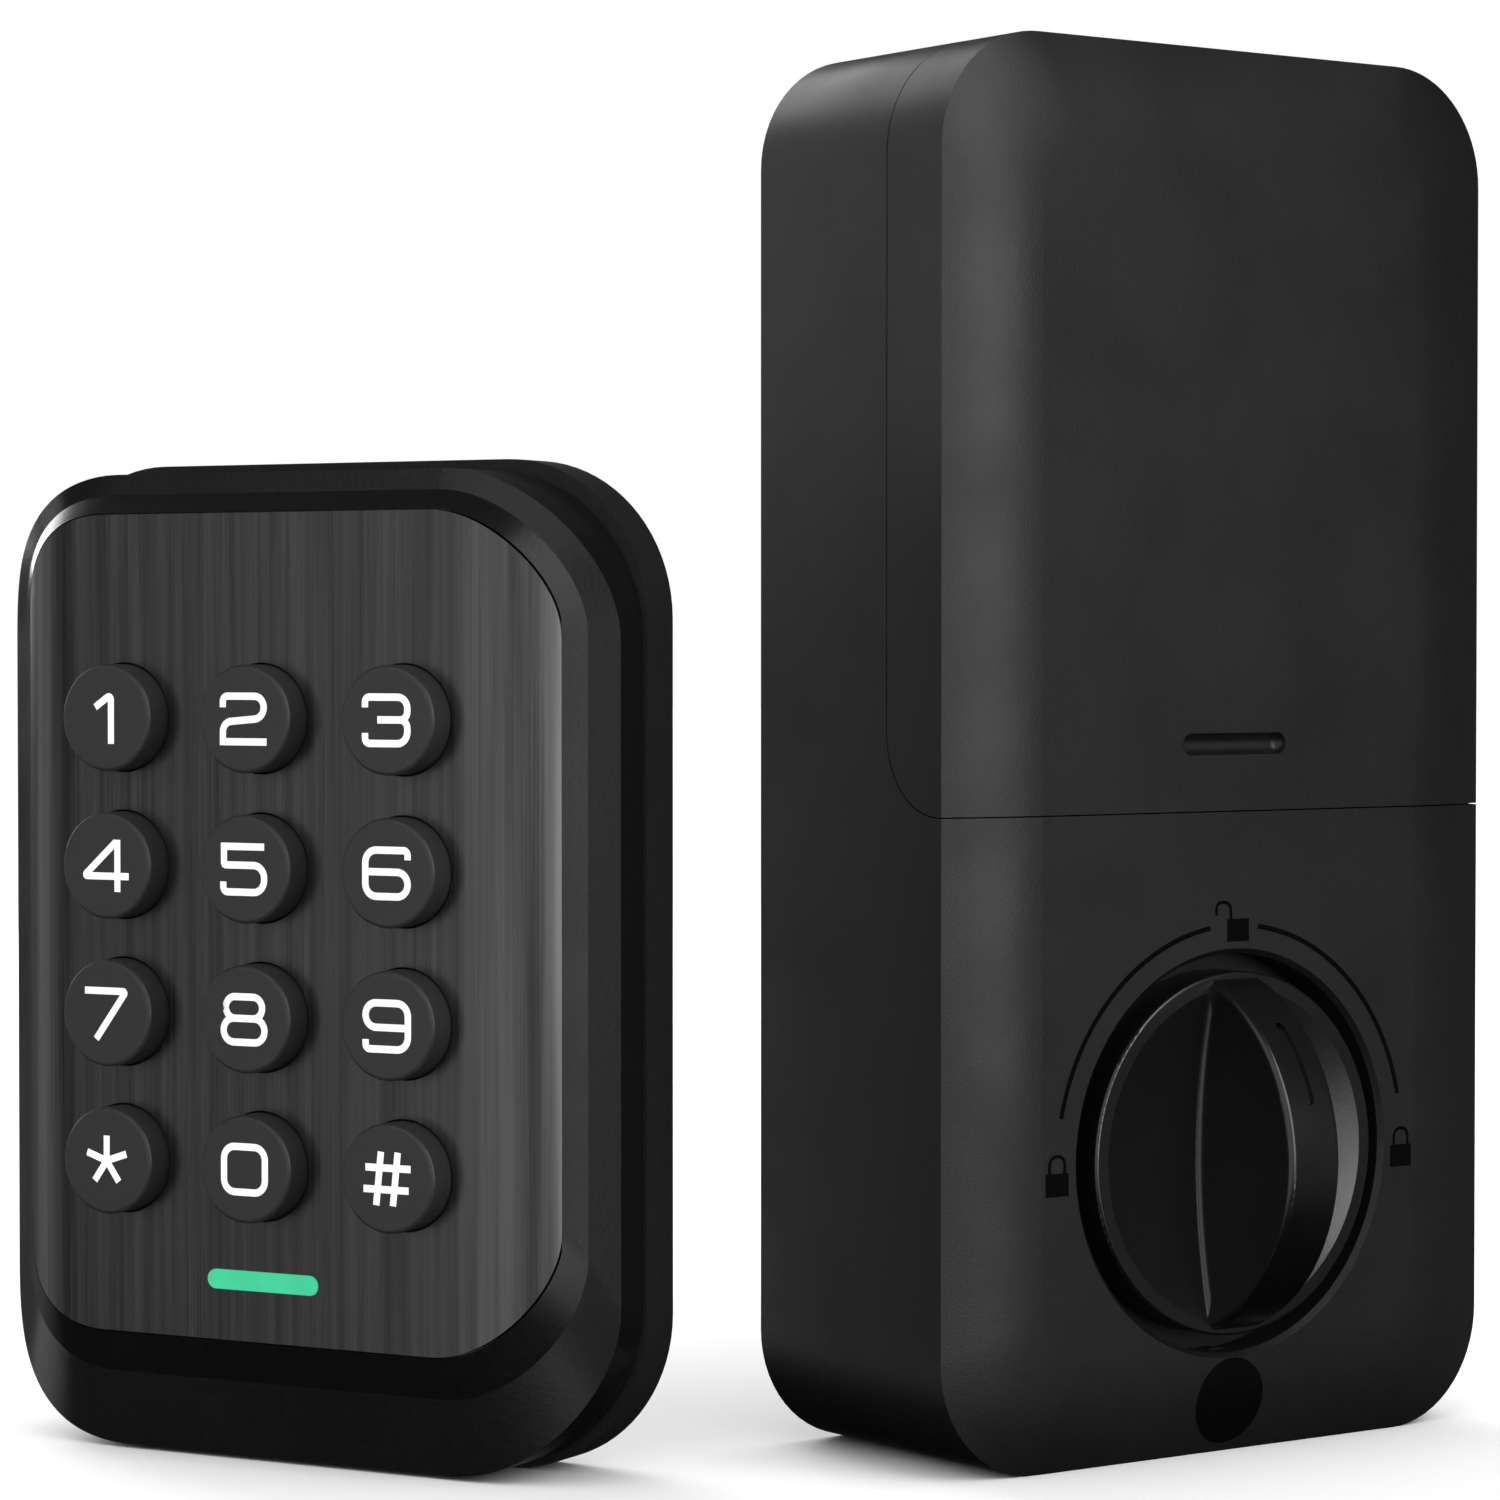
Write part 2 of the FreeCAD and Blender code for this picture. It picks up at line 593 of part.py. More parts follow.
def meshed(first, second, angle):
    """How far across and up the axle of a gear stands from that of the gear it meshes with."""
    reach = "(Sizes.{} + Sizes.{}) * Sizes.gear_module / 2".format(first, second)
    length = (getattr(S, first).number + getattr(S, second).number) * S.gear_module.number / 2
    turn = math.radians(getattr(S, angle).number)
    return [Size(length * ratio, "({} * {}(Sizes.{} * 1deg))".format(reach, name, angle))
            for name, ratio in (("sin", math.sin(turn)), ("cos", math.cos(turn)))]


IDLER_STEP = meshed("big_teeth", "idler_teeth", "idler_angle")
IDLER_X, IDLER_Z = IDLER_STEP[0], S.knob_z + IDLER_STEP[1]
PINION_STEP = meshed("idler_teeth", "pinion_teeth", "pinion_angle")
PINION_X, PINION_Z = IDLER_X + PINION_STEP[0], IDLER_Z + PINION_STEP[1]
CELL_X = [S.cell_pitch * step for step in (-1.5, -0.5, 0.5, 1.5)]
BRACKET_SCREWS = [(Size(side * 31), z) for side in (-1, 1) for z in (Size(12), Size(50))]
MAIN_SCREWS = [(Size(side * 26), z) for side in (-1, 1) for z in (Size(81), Size(139))]
BOLTS = [(S.bolt_pcd * -0.5, S.knob_z), (S.bolt_pcd * 0.5, S.knob_z)]


def pillow():
    """The unit's outer form: a rounded box whose front swells gently from a crisp edge."""
    body = new_body()
    centre = S.unit_high * 0.5
    edge = rounded(plane_sketch(body, "XZ_Plane"), 0, centre, S.unit_width, S.unit_high,
                   S.unit_corner)
    pad(body, edge, S.unit_depth)
    start = rounded(plane_sketch(body, "XZ_Plane"), 0, centre, S.unit_width, S.unit_high,
                    S.unit_corner)
    swell = body.newObject("PartDesign::AdditiveLoft", "Swell")
    swell.Profile = start
    sections = []
    for step in (0.25, 0.5, 0.75, 1.0):
        rise = 1 - (1 - step) ** 2
        inset = S.roll_width * step
        sketch = plane_sketch(body, "XZ_Plane", S.crown * -rise)
        rounded(sketch, 0, centre, S.unit_width - inset * 2, S.unit_high - inset * 2,
                S.unit_corner - inset * 0.55)
        sections.append(sketch)
    swell.Sections = sections
    swell.Ruled = False
    doc.recompute()
    return body


def cover_region(grow):
    """The space of the battery cover, with its rounded lower rear corner; grow < 0 shrinks it."""
    body = new_body()
    low, back, r = S.seam_z - grow, S.seam_y + grow, S.seam_corner + grow
    top = S.unit_high + 5
    points = [(-8, low), (back - r, low), (back, low + r), (back, top), (-8, top)]
    sketch = profile(plane_sketch(body, "YZ_Plane"), points, {1: (r, 1)})
    feature = body.newObject("PartDesign::Pad", "Pad")
    feature.Profile = sketch
    feature.Midplane = True
    bind(feature, "Length", S.unit_width + 4)
    return body


def make_interior_housing():
    inner = S.unit_width - S.wall * 2
    low_cavity = plate(S.low_cavity_y, S.unit_depth, 0, mid(S.wall, S.low_cavity_high), inner,
                       S.low_cavity_high - S.wall, 9)
    bay = plate(-5, S.bay_y + 5, 0, mid(S.bay_low, S.bay_high), S.bay_half * 2,
                S.bay_high - S.bay_low, 5)
    upper = plate(S.bay_y + S.bay_wall, S.unit_depth, 0, mid(S.bay_low, S.bay_high),
                  S.bay_half * 2, S.bay_high - S.bay_low, 5)
    rear = plate(S.rear_y, S.unit_depth, 0, S.unit_high * 0.5, inner,
                 S.unit_high - S.wall * 2, S.unit_corner - S.wall)
    recess = rod(S.recess_r, 0, -8, S.knob_z, S.recess_y + 8)
    lead_in = doc.addObject("Part::Cone", "LeadIn")
    lead_in.Placement = FreeCAD.Placement(V(0, 0, 0), FreeCAD.Rotation(V(1, 0, 0), -90))
    bind(lead_in, "Radius1", S.recess_r + 0.6)
    bind(lead_in, "Radius2", S.recess_r - 0.1)
    bind(lead_in, "Height", 0.7)
    bind(lead_in, "Placement.Base.y", -S.crown - 0.05)
    bind(lead_in, "Placement.Base.z", S.knob_z)
    bush_hole = rod(S.bush_r + 0.05, 0, 0, S.knob_z, 8)
    wire_gap = block(-24, 12, 72, 12, 20, 12)
    axle_hole = rod(S.axle_r + 0.03, IDLER_X, S.low_cavity_y - 2, IDLER_Z, 4)
    shell = cut(pillow(), cover_region(Size(0)), low_cavity, bay, upper, rear, recess, lead_in,
                bush_hole, wire_gap, axle_hole)
    sleeve = common(rod(5.6, 0, -4, S.plug_z, S.rear_y + 4),
                    plate(0.5, S.rear_y, 0, S.unit_high * 0.5, S.unit_width, S.unit_high,
                          S.unit_corner))
    top_boss = rod(4, 0, S.bay_y + 0.5, S.top_screw_z, S.rear_y - S.bay_y - 0.5)
    posts = [rod(3, x, S.low_cavity_y - 0.4, z, S.bracket_y - S.low_cavity_y + 0.4)
             for x, z in BRACKET_SCREWS]
    board_posts = [rod(2.4, x, S.bay_y + S.bay_wall - 0.3, z, 1.1) for x, z in MAIN_SCREWS]
    tapped = [rod(1.3, x, S.bracket_y - 4, z, 5) for x, z in BRACKET_SCREWS]
    tapped += [rod(0.95, x, S.bay_y + 0.8, z, 4) for x, z in MAIN_SCREWS]
    bores = [rod(S.plug_r + 0.06, 0, -8, S.plug_z, 9.6), rod(3.2, 0, -8, S.plug_z, 26),
             rod(S.screw_r + 0.15, 0, 0, S.plug_z, 40),
             rod(S.screw_r + 0.15, 0, 0, S.top_screw_z, 40)]
    body = cut(fuse(shell, sleeve, top_boss, *(posts + board_posts)), *(tapped + bores))
    finish(body, "interior_housing", INSIDE)


def finger_groove():
    """A round-bottomed groove with round ends, half its height deep in the cover's front."""
    radius, half = S.notch_high * 0.5, (S.notch_width - S.notch_high) * 0.5
    bar = doc.addObject("Part::Cylinder", "GrooveBar")
    bar.Placement = FreeCAD.Placement(V(0, 0, 0), FreeCAD.Rotation(V(0, 1, 0), 90))
    bind(bar, "Height", half * 2)
    ends = [doc.addObject("Part::Sphere", "GrooveEnd") for side in (-1, 1)]
    for solid, x in ((bar, -half), (ends[0], -half), (ends[1], half)):
        bind(solid, "Radius", radius)
        bind(solid, "Placement.Base.x", x)
        bind(solid, "Placement.Base.y", -S.crown)
        bind(solid, "Placement.Base.z", S.notch_z)
    return fuse(bar, *ends)


def make_battery_cover():
    hollow = plate(0.3, 20, 0, (S.unit_high - S.wall) * 0.5, S.unit_width - S.wall * 2,
                   S.unit_high - S.wall, S.unit_corner - S.wall)
    shell = common(pillow(), cover_region(-S.seam_gap))
    finish(cut(shell, hollow, finger_groove()), "battery_cover", INSIDE)


def make_battery_tray():
    centre = mid(S.tray_low, S.tray_high)
    body = plate(S.tray_front, S.bay_y - S.tray_front - 0.2, 0, centre, S.tray_half * 2,
                 S.tray_high - S.tray_low, 2)
    rods = []
    for x in CELL_X:
        trough = doc.addObject("Part::Cylinder", "Trough")
        bind(trough, "Radius", S.cell_r + 0.15)
        bind(trough, "Height", S.tray_high - S.tray_low - 4)
        for axis, size in zip("xyz", (x, S.cell_y, S.tray_low + 2)):
            bind(trough, "Placement.Base." + axis, size)
        rods.append(trough)
    opening = block(0, S.tray_front - 1, centre, S.tray_half * 2 - 2.4, S.cell_y - S.tray_front + 1,
                    S.tray_high - S.tray_low - 4)
    finish(cut(body, opening, *rods), "battery_tray", INSIDE)


def upright(radius, x, y, z, length, top_radius=None):
    """A vertical cylinder, or a cone when it has a second radius."""
    kind = "Part::Cylinder" if top_radius is None else "Part::Cone"
    obj = doc.addObject(kind, "Upright")
    bind(obj, "Radius" if top_radius is None else "Radius1", radius)
    if top_radius is not None:
        bind(obj, "Radius2", top_radius)
    bind(obj, "Height", length)
    for axis, size in zip("xyz", (x, y, z)):
        bind(obj, "Placement.Base." + axis, size)
    return obj


def make_cells():
    nub = 1.2
    for index, x in enumerate(CELL_X):
        nub_up = index % 2 == 0
        low = S.cell_z if nub_up else S.cell_z + nub
        nub_z = S.cell_z + S.cell_length - nub if nub_up else S.cell_z
        can = upright(S.cell_r, x, S.cell_y, low, S.cell_length - nub)
        tip_z = nub_z - 0.3 if nub_up else nub_z
        tip = upright(2.7, x, S.cell_y, tip_z, nub + 0.3)
        finish(fuse(can, tip), "battery_%d" % (index + 1), INSIDE)


def make_contacts():
    """Flat contacts at the cells' positive ends and cone springs at the negative ones."""
    low_end, high_end = S.tray_low + 2, S.tray_high - 2
    cell_top = S.cell_z + S.cell_length
    springs, leaves = [], []
    for index, x in enumerate(CELL_X):
        if index % 2 == 0:
            gap = S.cell_z - low_end
            spring = upright(4.5, x, S.cell_y, low_end, gap, 3)
            core = upright(3.7, x, S.cell_y, low_end, gap, 2.2)
            leaf_z = cell_top
        else:
            gap = high_end - cell_top
            spring = upright(3, x, S.cell_y, cell_top, gap, 4.5)
            core = upright(2.2, x, S.cell_y, cell_top, gap, 3.7)
            leaf_z = low_end
        springs.append(cut(spring, core))
        leaf_high = high_end - cell_top if index % 2 == 0 else S.cell_z - low_end
        leaves.append(block(x, S.cell_y - 4, leaf_z + leaf_high * 0.5, 9, 8, leaf_high))
    finish(together(*springs), "battery_springs", INSIDE)
    finish(together(*leaves), "battery_contacts", INSIDE)


def make_main_board():
    y = S.bay_y + S.bay_wall + 0.8
    body = plate(y, 1.2, 0, 110, 60, 64, 3)
    front_pocket(body, y - 1, 4, circles, MAIN_SCREWS, 1.1)
    finish(body, "main_circuit_board", INSIDE)
    screws = [screw(0.9, 1.8, x, y + 1.2, z, 0.7, 2.6) for x, z in MAIN_SCREWS]
    finish(together(*screws), "main_board_screws", INSIDE)
    finish(cut(block(0, y + 1.2, 111, 13, 3.4, 6), block(0, y + 2.2, 111, 11, 4, 4)),
           "cable_socket", INSIDE)


def arc_radius(half, rise):
    """The radius of an arc from its half width and its rise, as a size."""
    number = (half.number ** 2 + rise.number ** 2) / (2 * rise.number)
    return Size(number, "((%s * %s + %s * %s) / (2 * %s))" % (
        half.formula, half.formula, rise.formula, rise.formula, rise.formula))


def make_grip():
    """The thumb turn's dished disc with its half-moon grip, edges rounded."""
    sweep_r = arc_radius(S.fin_half, S.fin_out)
    dish_r = arc_radius(S.dish_r, S.dish_deep)
    disc = rod(S.disc_r, 0, -S.disc_front, 0, S.disc_front + S.disc_back)
    dish = doc.addObject("Part::Sphere", "Dish")
    bind(dish, "Radius", dish_r)
    bind(dish, "Placement.Base.y", S.dish_deep - S.disc_front - dish_r)
    fin = new_body()
    points = [(-S.disc_front, S.fin_half), (-S.disc_front, -S.fin_half), (0, -S.fin_half + 2),
              (0, S.fin_half - 2)]
    sketch = profile(plane_sketch(fin, "YZ_Plane"), points, {0: (sweep_r, 1)})
    feature = fin.newObject("PartDesign::Pad", "Pad")
    feature.Profile = sketch
    feature.Midplane = True
    bind(feature, "Length", S.fin_thick)
    grip = fuse(cut(disc, dish), fin)
    grip.Refine = True
    doc.recompute()
    side = S.fin_thick.number / 2
    rounded_edges = []
    for number, edge in enumerate(grip.Shape.Edges, 1):
        box = edge.BoundBox
        on_fin = abs(abs(box.XMin) - side) < 1e-3 and box.XLength < 1e-3 and box.ZLength > 20
        if on_fin or box.XLength > 40 and box.YMax < 0:
            radius = S.knob_round.number if on_fin else S.knob_round.number / 2
            rounded_edges.append((number, radius, radius))
    soft = doc.addObject("Part::Fillet", "Soft")
    soft.Base = grip
    soft.Edges = rounded_edges
    return soft, sweep_r


def gear_shape(teeth, bore, turn):
    """A spur gear blank with involute flanks, cut from one face outline."""
    module, pressure, play = S.gear_module.number, math.radians(20), 0.07
    pitch_r = module * teeth / 2
    base_r, tip_r, root_r = pitch_r * math.cos(pressure), pitch_r + module, pitch_r - 1.25 * module
    half = math.pi / 2 / teeth - play / pitch_r + math.tan(pressure) - pressure
    start_r = max(base_r, root_r + 0.05)

    def flank(radius):
        tan_a = math.sqrt(max((radius / base_r) ** 2 - 1, 0))
        return half - (tan_a - math.atan(tan_a))

    def at(radius, angle):
        return V(radius * math.sin(angle), 0, radius * math.cos(angle))

    steps = [start_r + (tip_r - start_r) * i / 5 for i in range(6)]
    edges = []
    for tooth in range(teeth):
        mid_angle = turn + 2 * math.pi * tooth / teeth
        step = 2 * math.pi / teeth
        up = [at(r, mid_angle - flank(r)) for r in steps]
        down = [at(r, mid_angle + flank(r)) for r in reversed(steps)]
        foot = at(root_r, mid_angle - flank(start_r))
        foot_out = at(root_r, mid_angle + flank(start_r))
        next_foot = at(root_r, mid_angle + step - flank(start_r))
        rise, fall = Part.BSplineCurve(), Part.BSplineCurve()
        rise.interpolate(up)
        fall.interpolate(down)
        edges += [Part.makeLine(foot, up[0]), rise.toShape(),
                  Part.Arc(up[-1], at(tip_r, mid_angle), down[0]).toShape(), fall.toShape(),
                  Part.makeLine(down[-1], foot_out),
                  Part.Arc(foot_out, at(root_r, mid_angle + step / 2), next_foot).toShape()]
    face = Part.Face(Part.Wire(Part.__sortEdges__(edges)))
    solid = face.extrude(V(0, S.gear_face.number, 0))
    hole = Part.makeCylinder(bore, 20, V(0, -5, 0), V(0, 1, 0))
    return solid.cut(hole)


def make_gear(teeth, bore, turn):
    obj = doc.addObject("Part::Feature", "Gear")
    obj.Shape = gear_shape(int(teeth.number), bore, turn)
    return obj


def make_turning_parts():
    grip, sweep_r = make_grip()
    socket = rod(S.spindle_r + 0.05, 0, S.spindle_y - 0.05, 0, 6)
    groove_ring = sideways(sweep_r - 0.5, 6, Size(-2.7) - S.fin_out + sweep_r)
    groove = common(cut(block(0, -30, 0, 1.3, 28, 60), groove_ring),
                    plate(-30, 28, 0, 10.6, 1.3, 8.6, 0.64))
    knob = cut(grip, socket, groove)
    finish(knob, "thumb_turn_knob", INSIDE, V(0, 0, S.knob_z.number))
    finish(rod(S.spindle_r, 0, S.spindle_y, S.knob_z, 23.7), "knob_spindle", INSIDE)
    gear = make_gear(S.big_teeth, S.spindle_r.number + 0.05, 0)
    finish(gear, "output_gear", INSIDE, V(0, S.gear_y.number, S.knob_z.number))
    ring_y = S.bracket_y + S.bracket_thick + 0.2
    finish(cut(rod(6, 0, ring_y, S.knob_z, 0.8), rod(S.spindle_r + 0.05, 0, ring_y - 1, S.knob_z, 3)),
           "retaining_ring", INSIDE)
    hub = cut(rod(S.hub_r, 0, 12, S.knob_z, S.hub_back - 12),
              rod(S.spindle_r + 0.05, 0, 11, S.knob_z, 13.2),
              block(0, 25.5, S.knob_z, 2.4, 12, 8.4))
    finish(hub, "tailpiece_hub", INSIDE)


def sideways(radius, length, y):
    """A cylinder along x, centred on the unit's middle at depth y."""
    obj = doc.addObject("Part::Cylinder", "Sideways")
    obj.Placement = FreeCAD.Placement(V(0, 0, 0), FreeCAD.Rotation(V(0, 1, 0), 90))
    bind(obj, "Radius", radius)
    bind(obj, "Height", length)
    bind(obj, "Placement.Base.x", as_size(length) * -0.5)
    bind(obj, "Placement.Base.y", y)
    return obj


def make_gear_train():
    pitch = 2 * math.pi
    big, small = int(S.idler_teeth.number), int(S.pinion_teeth.number)
    line = math.radians(S.idler_angle.number)
    # a gap of the idler faces the output gear's tooth on the line between their axes
    lead = line * S.big_teeth.number / pitch % 1.0
    idler_turn = line + math.pi + (0.5 + lead) * pitch / big
    gear = make_gear(S.idler_teeth, S.axle_r.number + 0.04, idler_turn)
    finish(gear, "idler_gear", INSIDE, V(IDLER_X.number, S.gear_y.number, IDLER_Z.number))
    line = math.radians(S.pinion_angle.number)
    lead = (line - idler_turn) * big / pitch % 1.0
    pinion_turn = line + math.pi + (0.5 + lead) * pitch / small
    blank = make_gear(S.pinion_teeth, 0.6, pinion_turn)
    plug = rod(0.7, 0, 0, 0, S.gear_face)
    shaft = rod(1, 0, S.gear_face - 0.2, 0, 7)
    finish(fuse(blank, plug, shaft), "motor_pinion", INSIDE,
           V(PINION_X.number, S.gear_y.number, PINION_Z.number))


def make_motor():
    back = S.bracket_y + S.bracket_thick
    can = common(rod(6, PINION_X, back, PINION_Z, 15), block(PINION_X, back, PINION_Z, 12, 15, 10))
    cap = fuse(rod(2, PINION_X, back + 14.5, PINION_Z, 1.5), can)
    finish(cut(cap, rod(1.05, PINION_X, back - 1, PINION_Z, 7)), "gear_motor", INSIDE)
    outline = plate(S.bracket_y, S.bracket_thick, 0, 35, 70, 60, 7)
    front_pocket(outline, S.bracket_y - 1, 3, circles, [KNOB], S.spindle_r + 2.6)
    front_pocket(outline, S.bracket_y - 1, 3, circles, [(PINION_X, PINION_Z)], 1.4)
    front_pocket(outline, S.bracket_y - 1, 3, circles, [(IDLER_X, IDLER_Z)], S.axle_r + 0.03)
    front_pocket(outline, S.bracket_y - 1, 3, circles, BRACKET_SCREWS, 1.35)
    front_pocket(outline, S.bracket_y - 1, 3, circles, [(Size(0), S.plug_z)], 6)
    finish(outline, "motor_bracket", INSIDE)
    screws = [screw(1.25, 2.4, x, back, z, 1.4, 4.6) for x, z in BRACKET_SCREWS]
    finish(together(*screws), "bracket_screws", INSIDE)
    finish(rod(S.axle_r, IDLER_X, S.low_cavity_y - 1.9, IDLER_Z, back - S.low_cavity_y + 1.9),
           "idler_axle", INSIDE)
    finish(cut(rod(S.bush_r, 0, S.recess_y, S.knob_z, S.low_cavity_y - S.recess_y + 0.3),
               rod(S.spindle_r + S.run_gap, 0, 0, S.knob_z, 9)), "knob_bushing", INSIDE)
    switch = block(-15, back, S.knob_z, 12.8, 6.5, 5.8)
    lever = block(-11, back + 2, S.knob_z + 3.2, 1.6, 2.5, 1)
    finish(fuse(switch, lever), "position_switch", INSIDE)


def make_wall_side():
    centre = S.unit_high * 0.5
    size = (S.unit_width - S.mount_inset * 2, S.unit_high - S.mount_inset * 2,
            S.unit_corner - S.mount_inset)
    rear = S.mount_y + S.mount_thick
    for name, y, depth in (("mounting_plate", S.mount_y, S.mount_thick),
                           ("mounting_pad", rear, S.unit_depth - rear)):
        body = plate(y, depth, 0, centre, *size)
        front_pocket(body, y - 1, depth + 2, circles, [KNOB], S.tail_hole_r)
        front_pocket(body, y - 1, depth + 2, circles, BOLTS, S.bolt_hole_r)
        screws = [(Size(0), S.plug_z), (Size(0), S.top_screw_z)]
        front_pocket(body, y - 1, depth + 2, circles, screws, S.screw_r + 0.1)
        front_pocket(body, y - 1, depth + 2, rounded, 0, 111, 24, 14, 3)
        finish(body, name, INSIDE)
    low = screw(S.screw_r, 2.9, 0, 16, S.plug_z, 2, rear - 18, 1)
    finish(low, "lower_housing_screw", INSIDE)
    high = screw(S.screw_r, 2.9, 0, S.bay_y - 2, S.top_screw_z, 2, rear - S.bay_y, 1)
    finish(high, "upper_housing_screw", INSIDE)
    finish(common(rod(S.plug_r, 0, -4, S.plug_z, 5.4), pillow()), "screw_cover_plug", INSIDE)


make_keypad_housing()
make_face_plate()
make_status_light()
make_membrane()
make_keypad_board()
make_dome_switches()
make_keypad_board_parts()
make_back_plate()
make_gasket()
make_keypad_fixings()
for name, x, z in KEYS:
    make_key(name, x, z)
make_interior_housing()
make_battery_cover()
make_battery_tray()
make_cells()
make_contacts()
make_main_board()
make_turning_parts()
make_gear_train()
make_motor()
make_wall_side()

doc.recompute()
for obj in doc.Objects:
    if "Invalid" in obj.State or "Error" in obj.State:
        raise RuntimeError("%s did not rebuild: %s" % (obj.Label, obj.State))
for node in NODES:
    if node.Shape.isNull() or not node.Shape.isValid() or not node.Shape.Solids:
        raise RuntimeError("%s has no valid solid" % node.Label)
    node.Shape.exportStep("parts/%s.step" % node.Label)
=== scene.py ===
import json
import math

import bmesh
import bpy
from mathutils import Matrix, Vector


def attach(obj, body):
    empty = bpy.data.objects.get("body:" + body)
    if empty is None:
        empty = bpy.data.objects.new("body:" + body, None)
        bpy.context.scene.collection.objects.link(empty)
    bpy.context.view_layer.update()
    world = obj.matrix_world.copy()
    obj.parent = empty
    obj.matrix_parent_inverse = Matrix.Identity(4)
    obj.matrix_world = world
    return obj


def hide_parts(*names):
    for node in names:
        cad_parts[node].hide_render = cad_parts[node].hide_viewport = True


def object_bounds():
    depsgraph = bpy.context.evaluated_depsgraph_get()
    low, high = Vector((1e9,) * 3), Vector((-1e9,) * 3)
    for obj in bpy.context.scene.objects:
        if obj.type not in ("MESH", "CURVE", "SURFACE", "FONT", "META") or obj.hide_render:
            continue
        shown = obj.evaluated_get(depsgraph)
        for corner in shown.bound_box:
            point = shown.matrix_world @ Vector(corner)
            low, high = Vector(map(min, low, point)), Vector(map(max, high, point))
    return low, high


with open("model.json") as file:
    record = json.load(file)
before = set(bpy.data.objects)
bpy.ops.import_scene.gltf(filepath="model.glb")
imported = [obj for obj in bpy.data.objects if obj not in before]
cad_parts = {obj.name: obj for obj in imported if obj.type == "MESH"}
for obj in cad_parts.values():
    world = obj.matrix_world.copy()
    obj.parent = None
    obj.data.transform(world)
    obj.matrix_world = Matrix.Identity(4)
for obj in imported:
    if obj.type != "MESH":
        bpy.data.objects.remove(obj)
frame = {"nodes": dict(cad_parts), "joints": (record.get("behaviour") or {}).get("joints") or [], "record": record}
CAD_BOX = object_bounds()

MM = 0.001
RECORD = frame["record"]
JOINTS = {j["name"]: j for j in frame["joints"]}
MOUNTS = {m["name"]: m for m in RECORD["mounts"]}
NODES = frame["nodes"]


# ------------------------------------------------------------------ where the two units stand
def unit_matrix(inward, point, local):
    """The matrix from a unit's own millimetres to the frame: x right, y into the unit, z up."""
    inward = Vector(inward).normalized()
    right = Vector((inward.y, -inward.x, 0))
    turn = Matrix((right, inward, Vector((0, 0, 1)))).transposed()
    origin = Vector(point) - turn @ (Vector(local) * MM)
    return Matrix.Translation(origin) @ turn.to_4x4() @ Matrix.Scale(MM, 4)


def unit_box(node, matrix):
    """A node's lowest and highest corners in its unit's own millimetres."""
    inverse = matrix.inverted()
    points = [inverse @ v.co for v in NODES[node].data.vertices]
    low = Vector([min(p[axis] for p in points) for axis in range(3)])
    high = Vector([max(p[axis] for p in points) for axis in range(3)])
    return low, high


turn_joint = JOINTS["thumb_turn_turn"]
KNOB_Z = turn_joint["pos_m"][2] / MM
INSIDE = unit_matrix(turn_joint["axis"], turn_joint["pos_m"], (0, 0, KNOB_Z))
keypad_back = MOUNTS["door_face_keypad"]
KEYPAD = unit_matrix(keypad_back["axis"], keypad_back["pos_m"],
                     (0, 0, keypad_back["pos_m"][2] / MM))
depth = unit_box("keypad_gasket", KEYPAD)[1].y - unit_box("keypad_face_plate", KEYPAD)[0].y
KEYPAD = KEYPAD @ Matrix.Translation((0, -depth, 0))
KEYPAD_YAW = math.atan2(KEYPAD[1][0], KEYPAD[0][0])
INSIDE_YAW = math.atan2(INSIDE[1][0], INSIDE[0][0])
FRONT_Y = unit_box("interior_housing", INSIDE)[0].y


# ------------------------------------------------------------------ materials
GRAIN_RELIEF = 0.5        # a grain's height, as a part of its size
DRIFT_SCALE = 60          # lumps per metre in a finish's slow drift of gloss
ACROSS_SHEET = 20         # lumps per metre through a brushed sheet's thickness
BROAD_WIDTH = 9           # a broad streak's width, in fine streaks
BROAD_LENGTH = 2.5        # a broad streak's length, in fine streaks
BROAD_SHARE = 0.55        # how much of the streaks' tone is the broad ones'
STREAK_BAND = (0.36, 0.64)  # the part of the streaks' noise spread over the two tones
STREAK_RELIEF = 0.00002   # metres
FROST_SCALE = 300         # lumps per metre in a light guide
FROST_TINTS = (0.2, 0.3)  # a light guide's surface, as parts of its glow


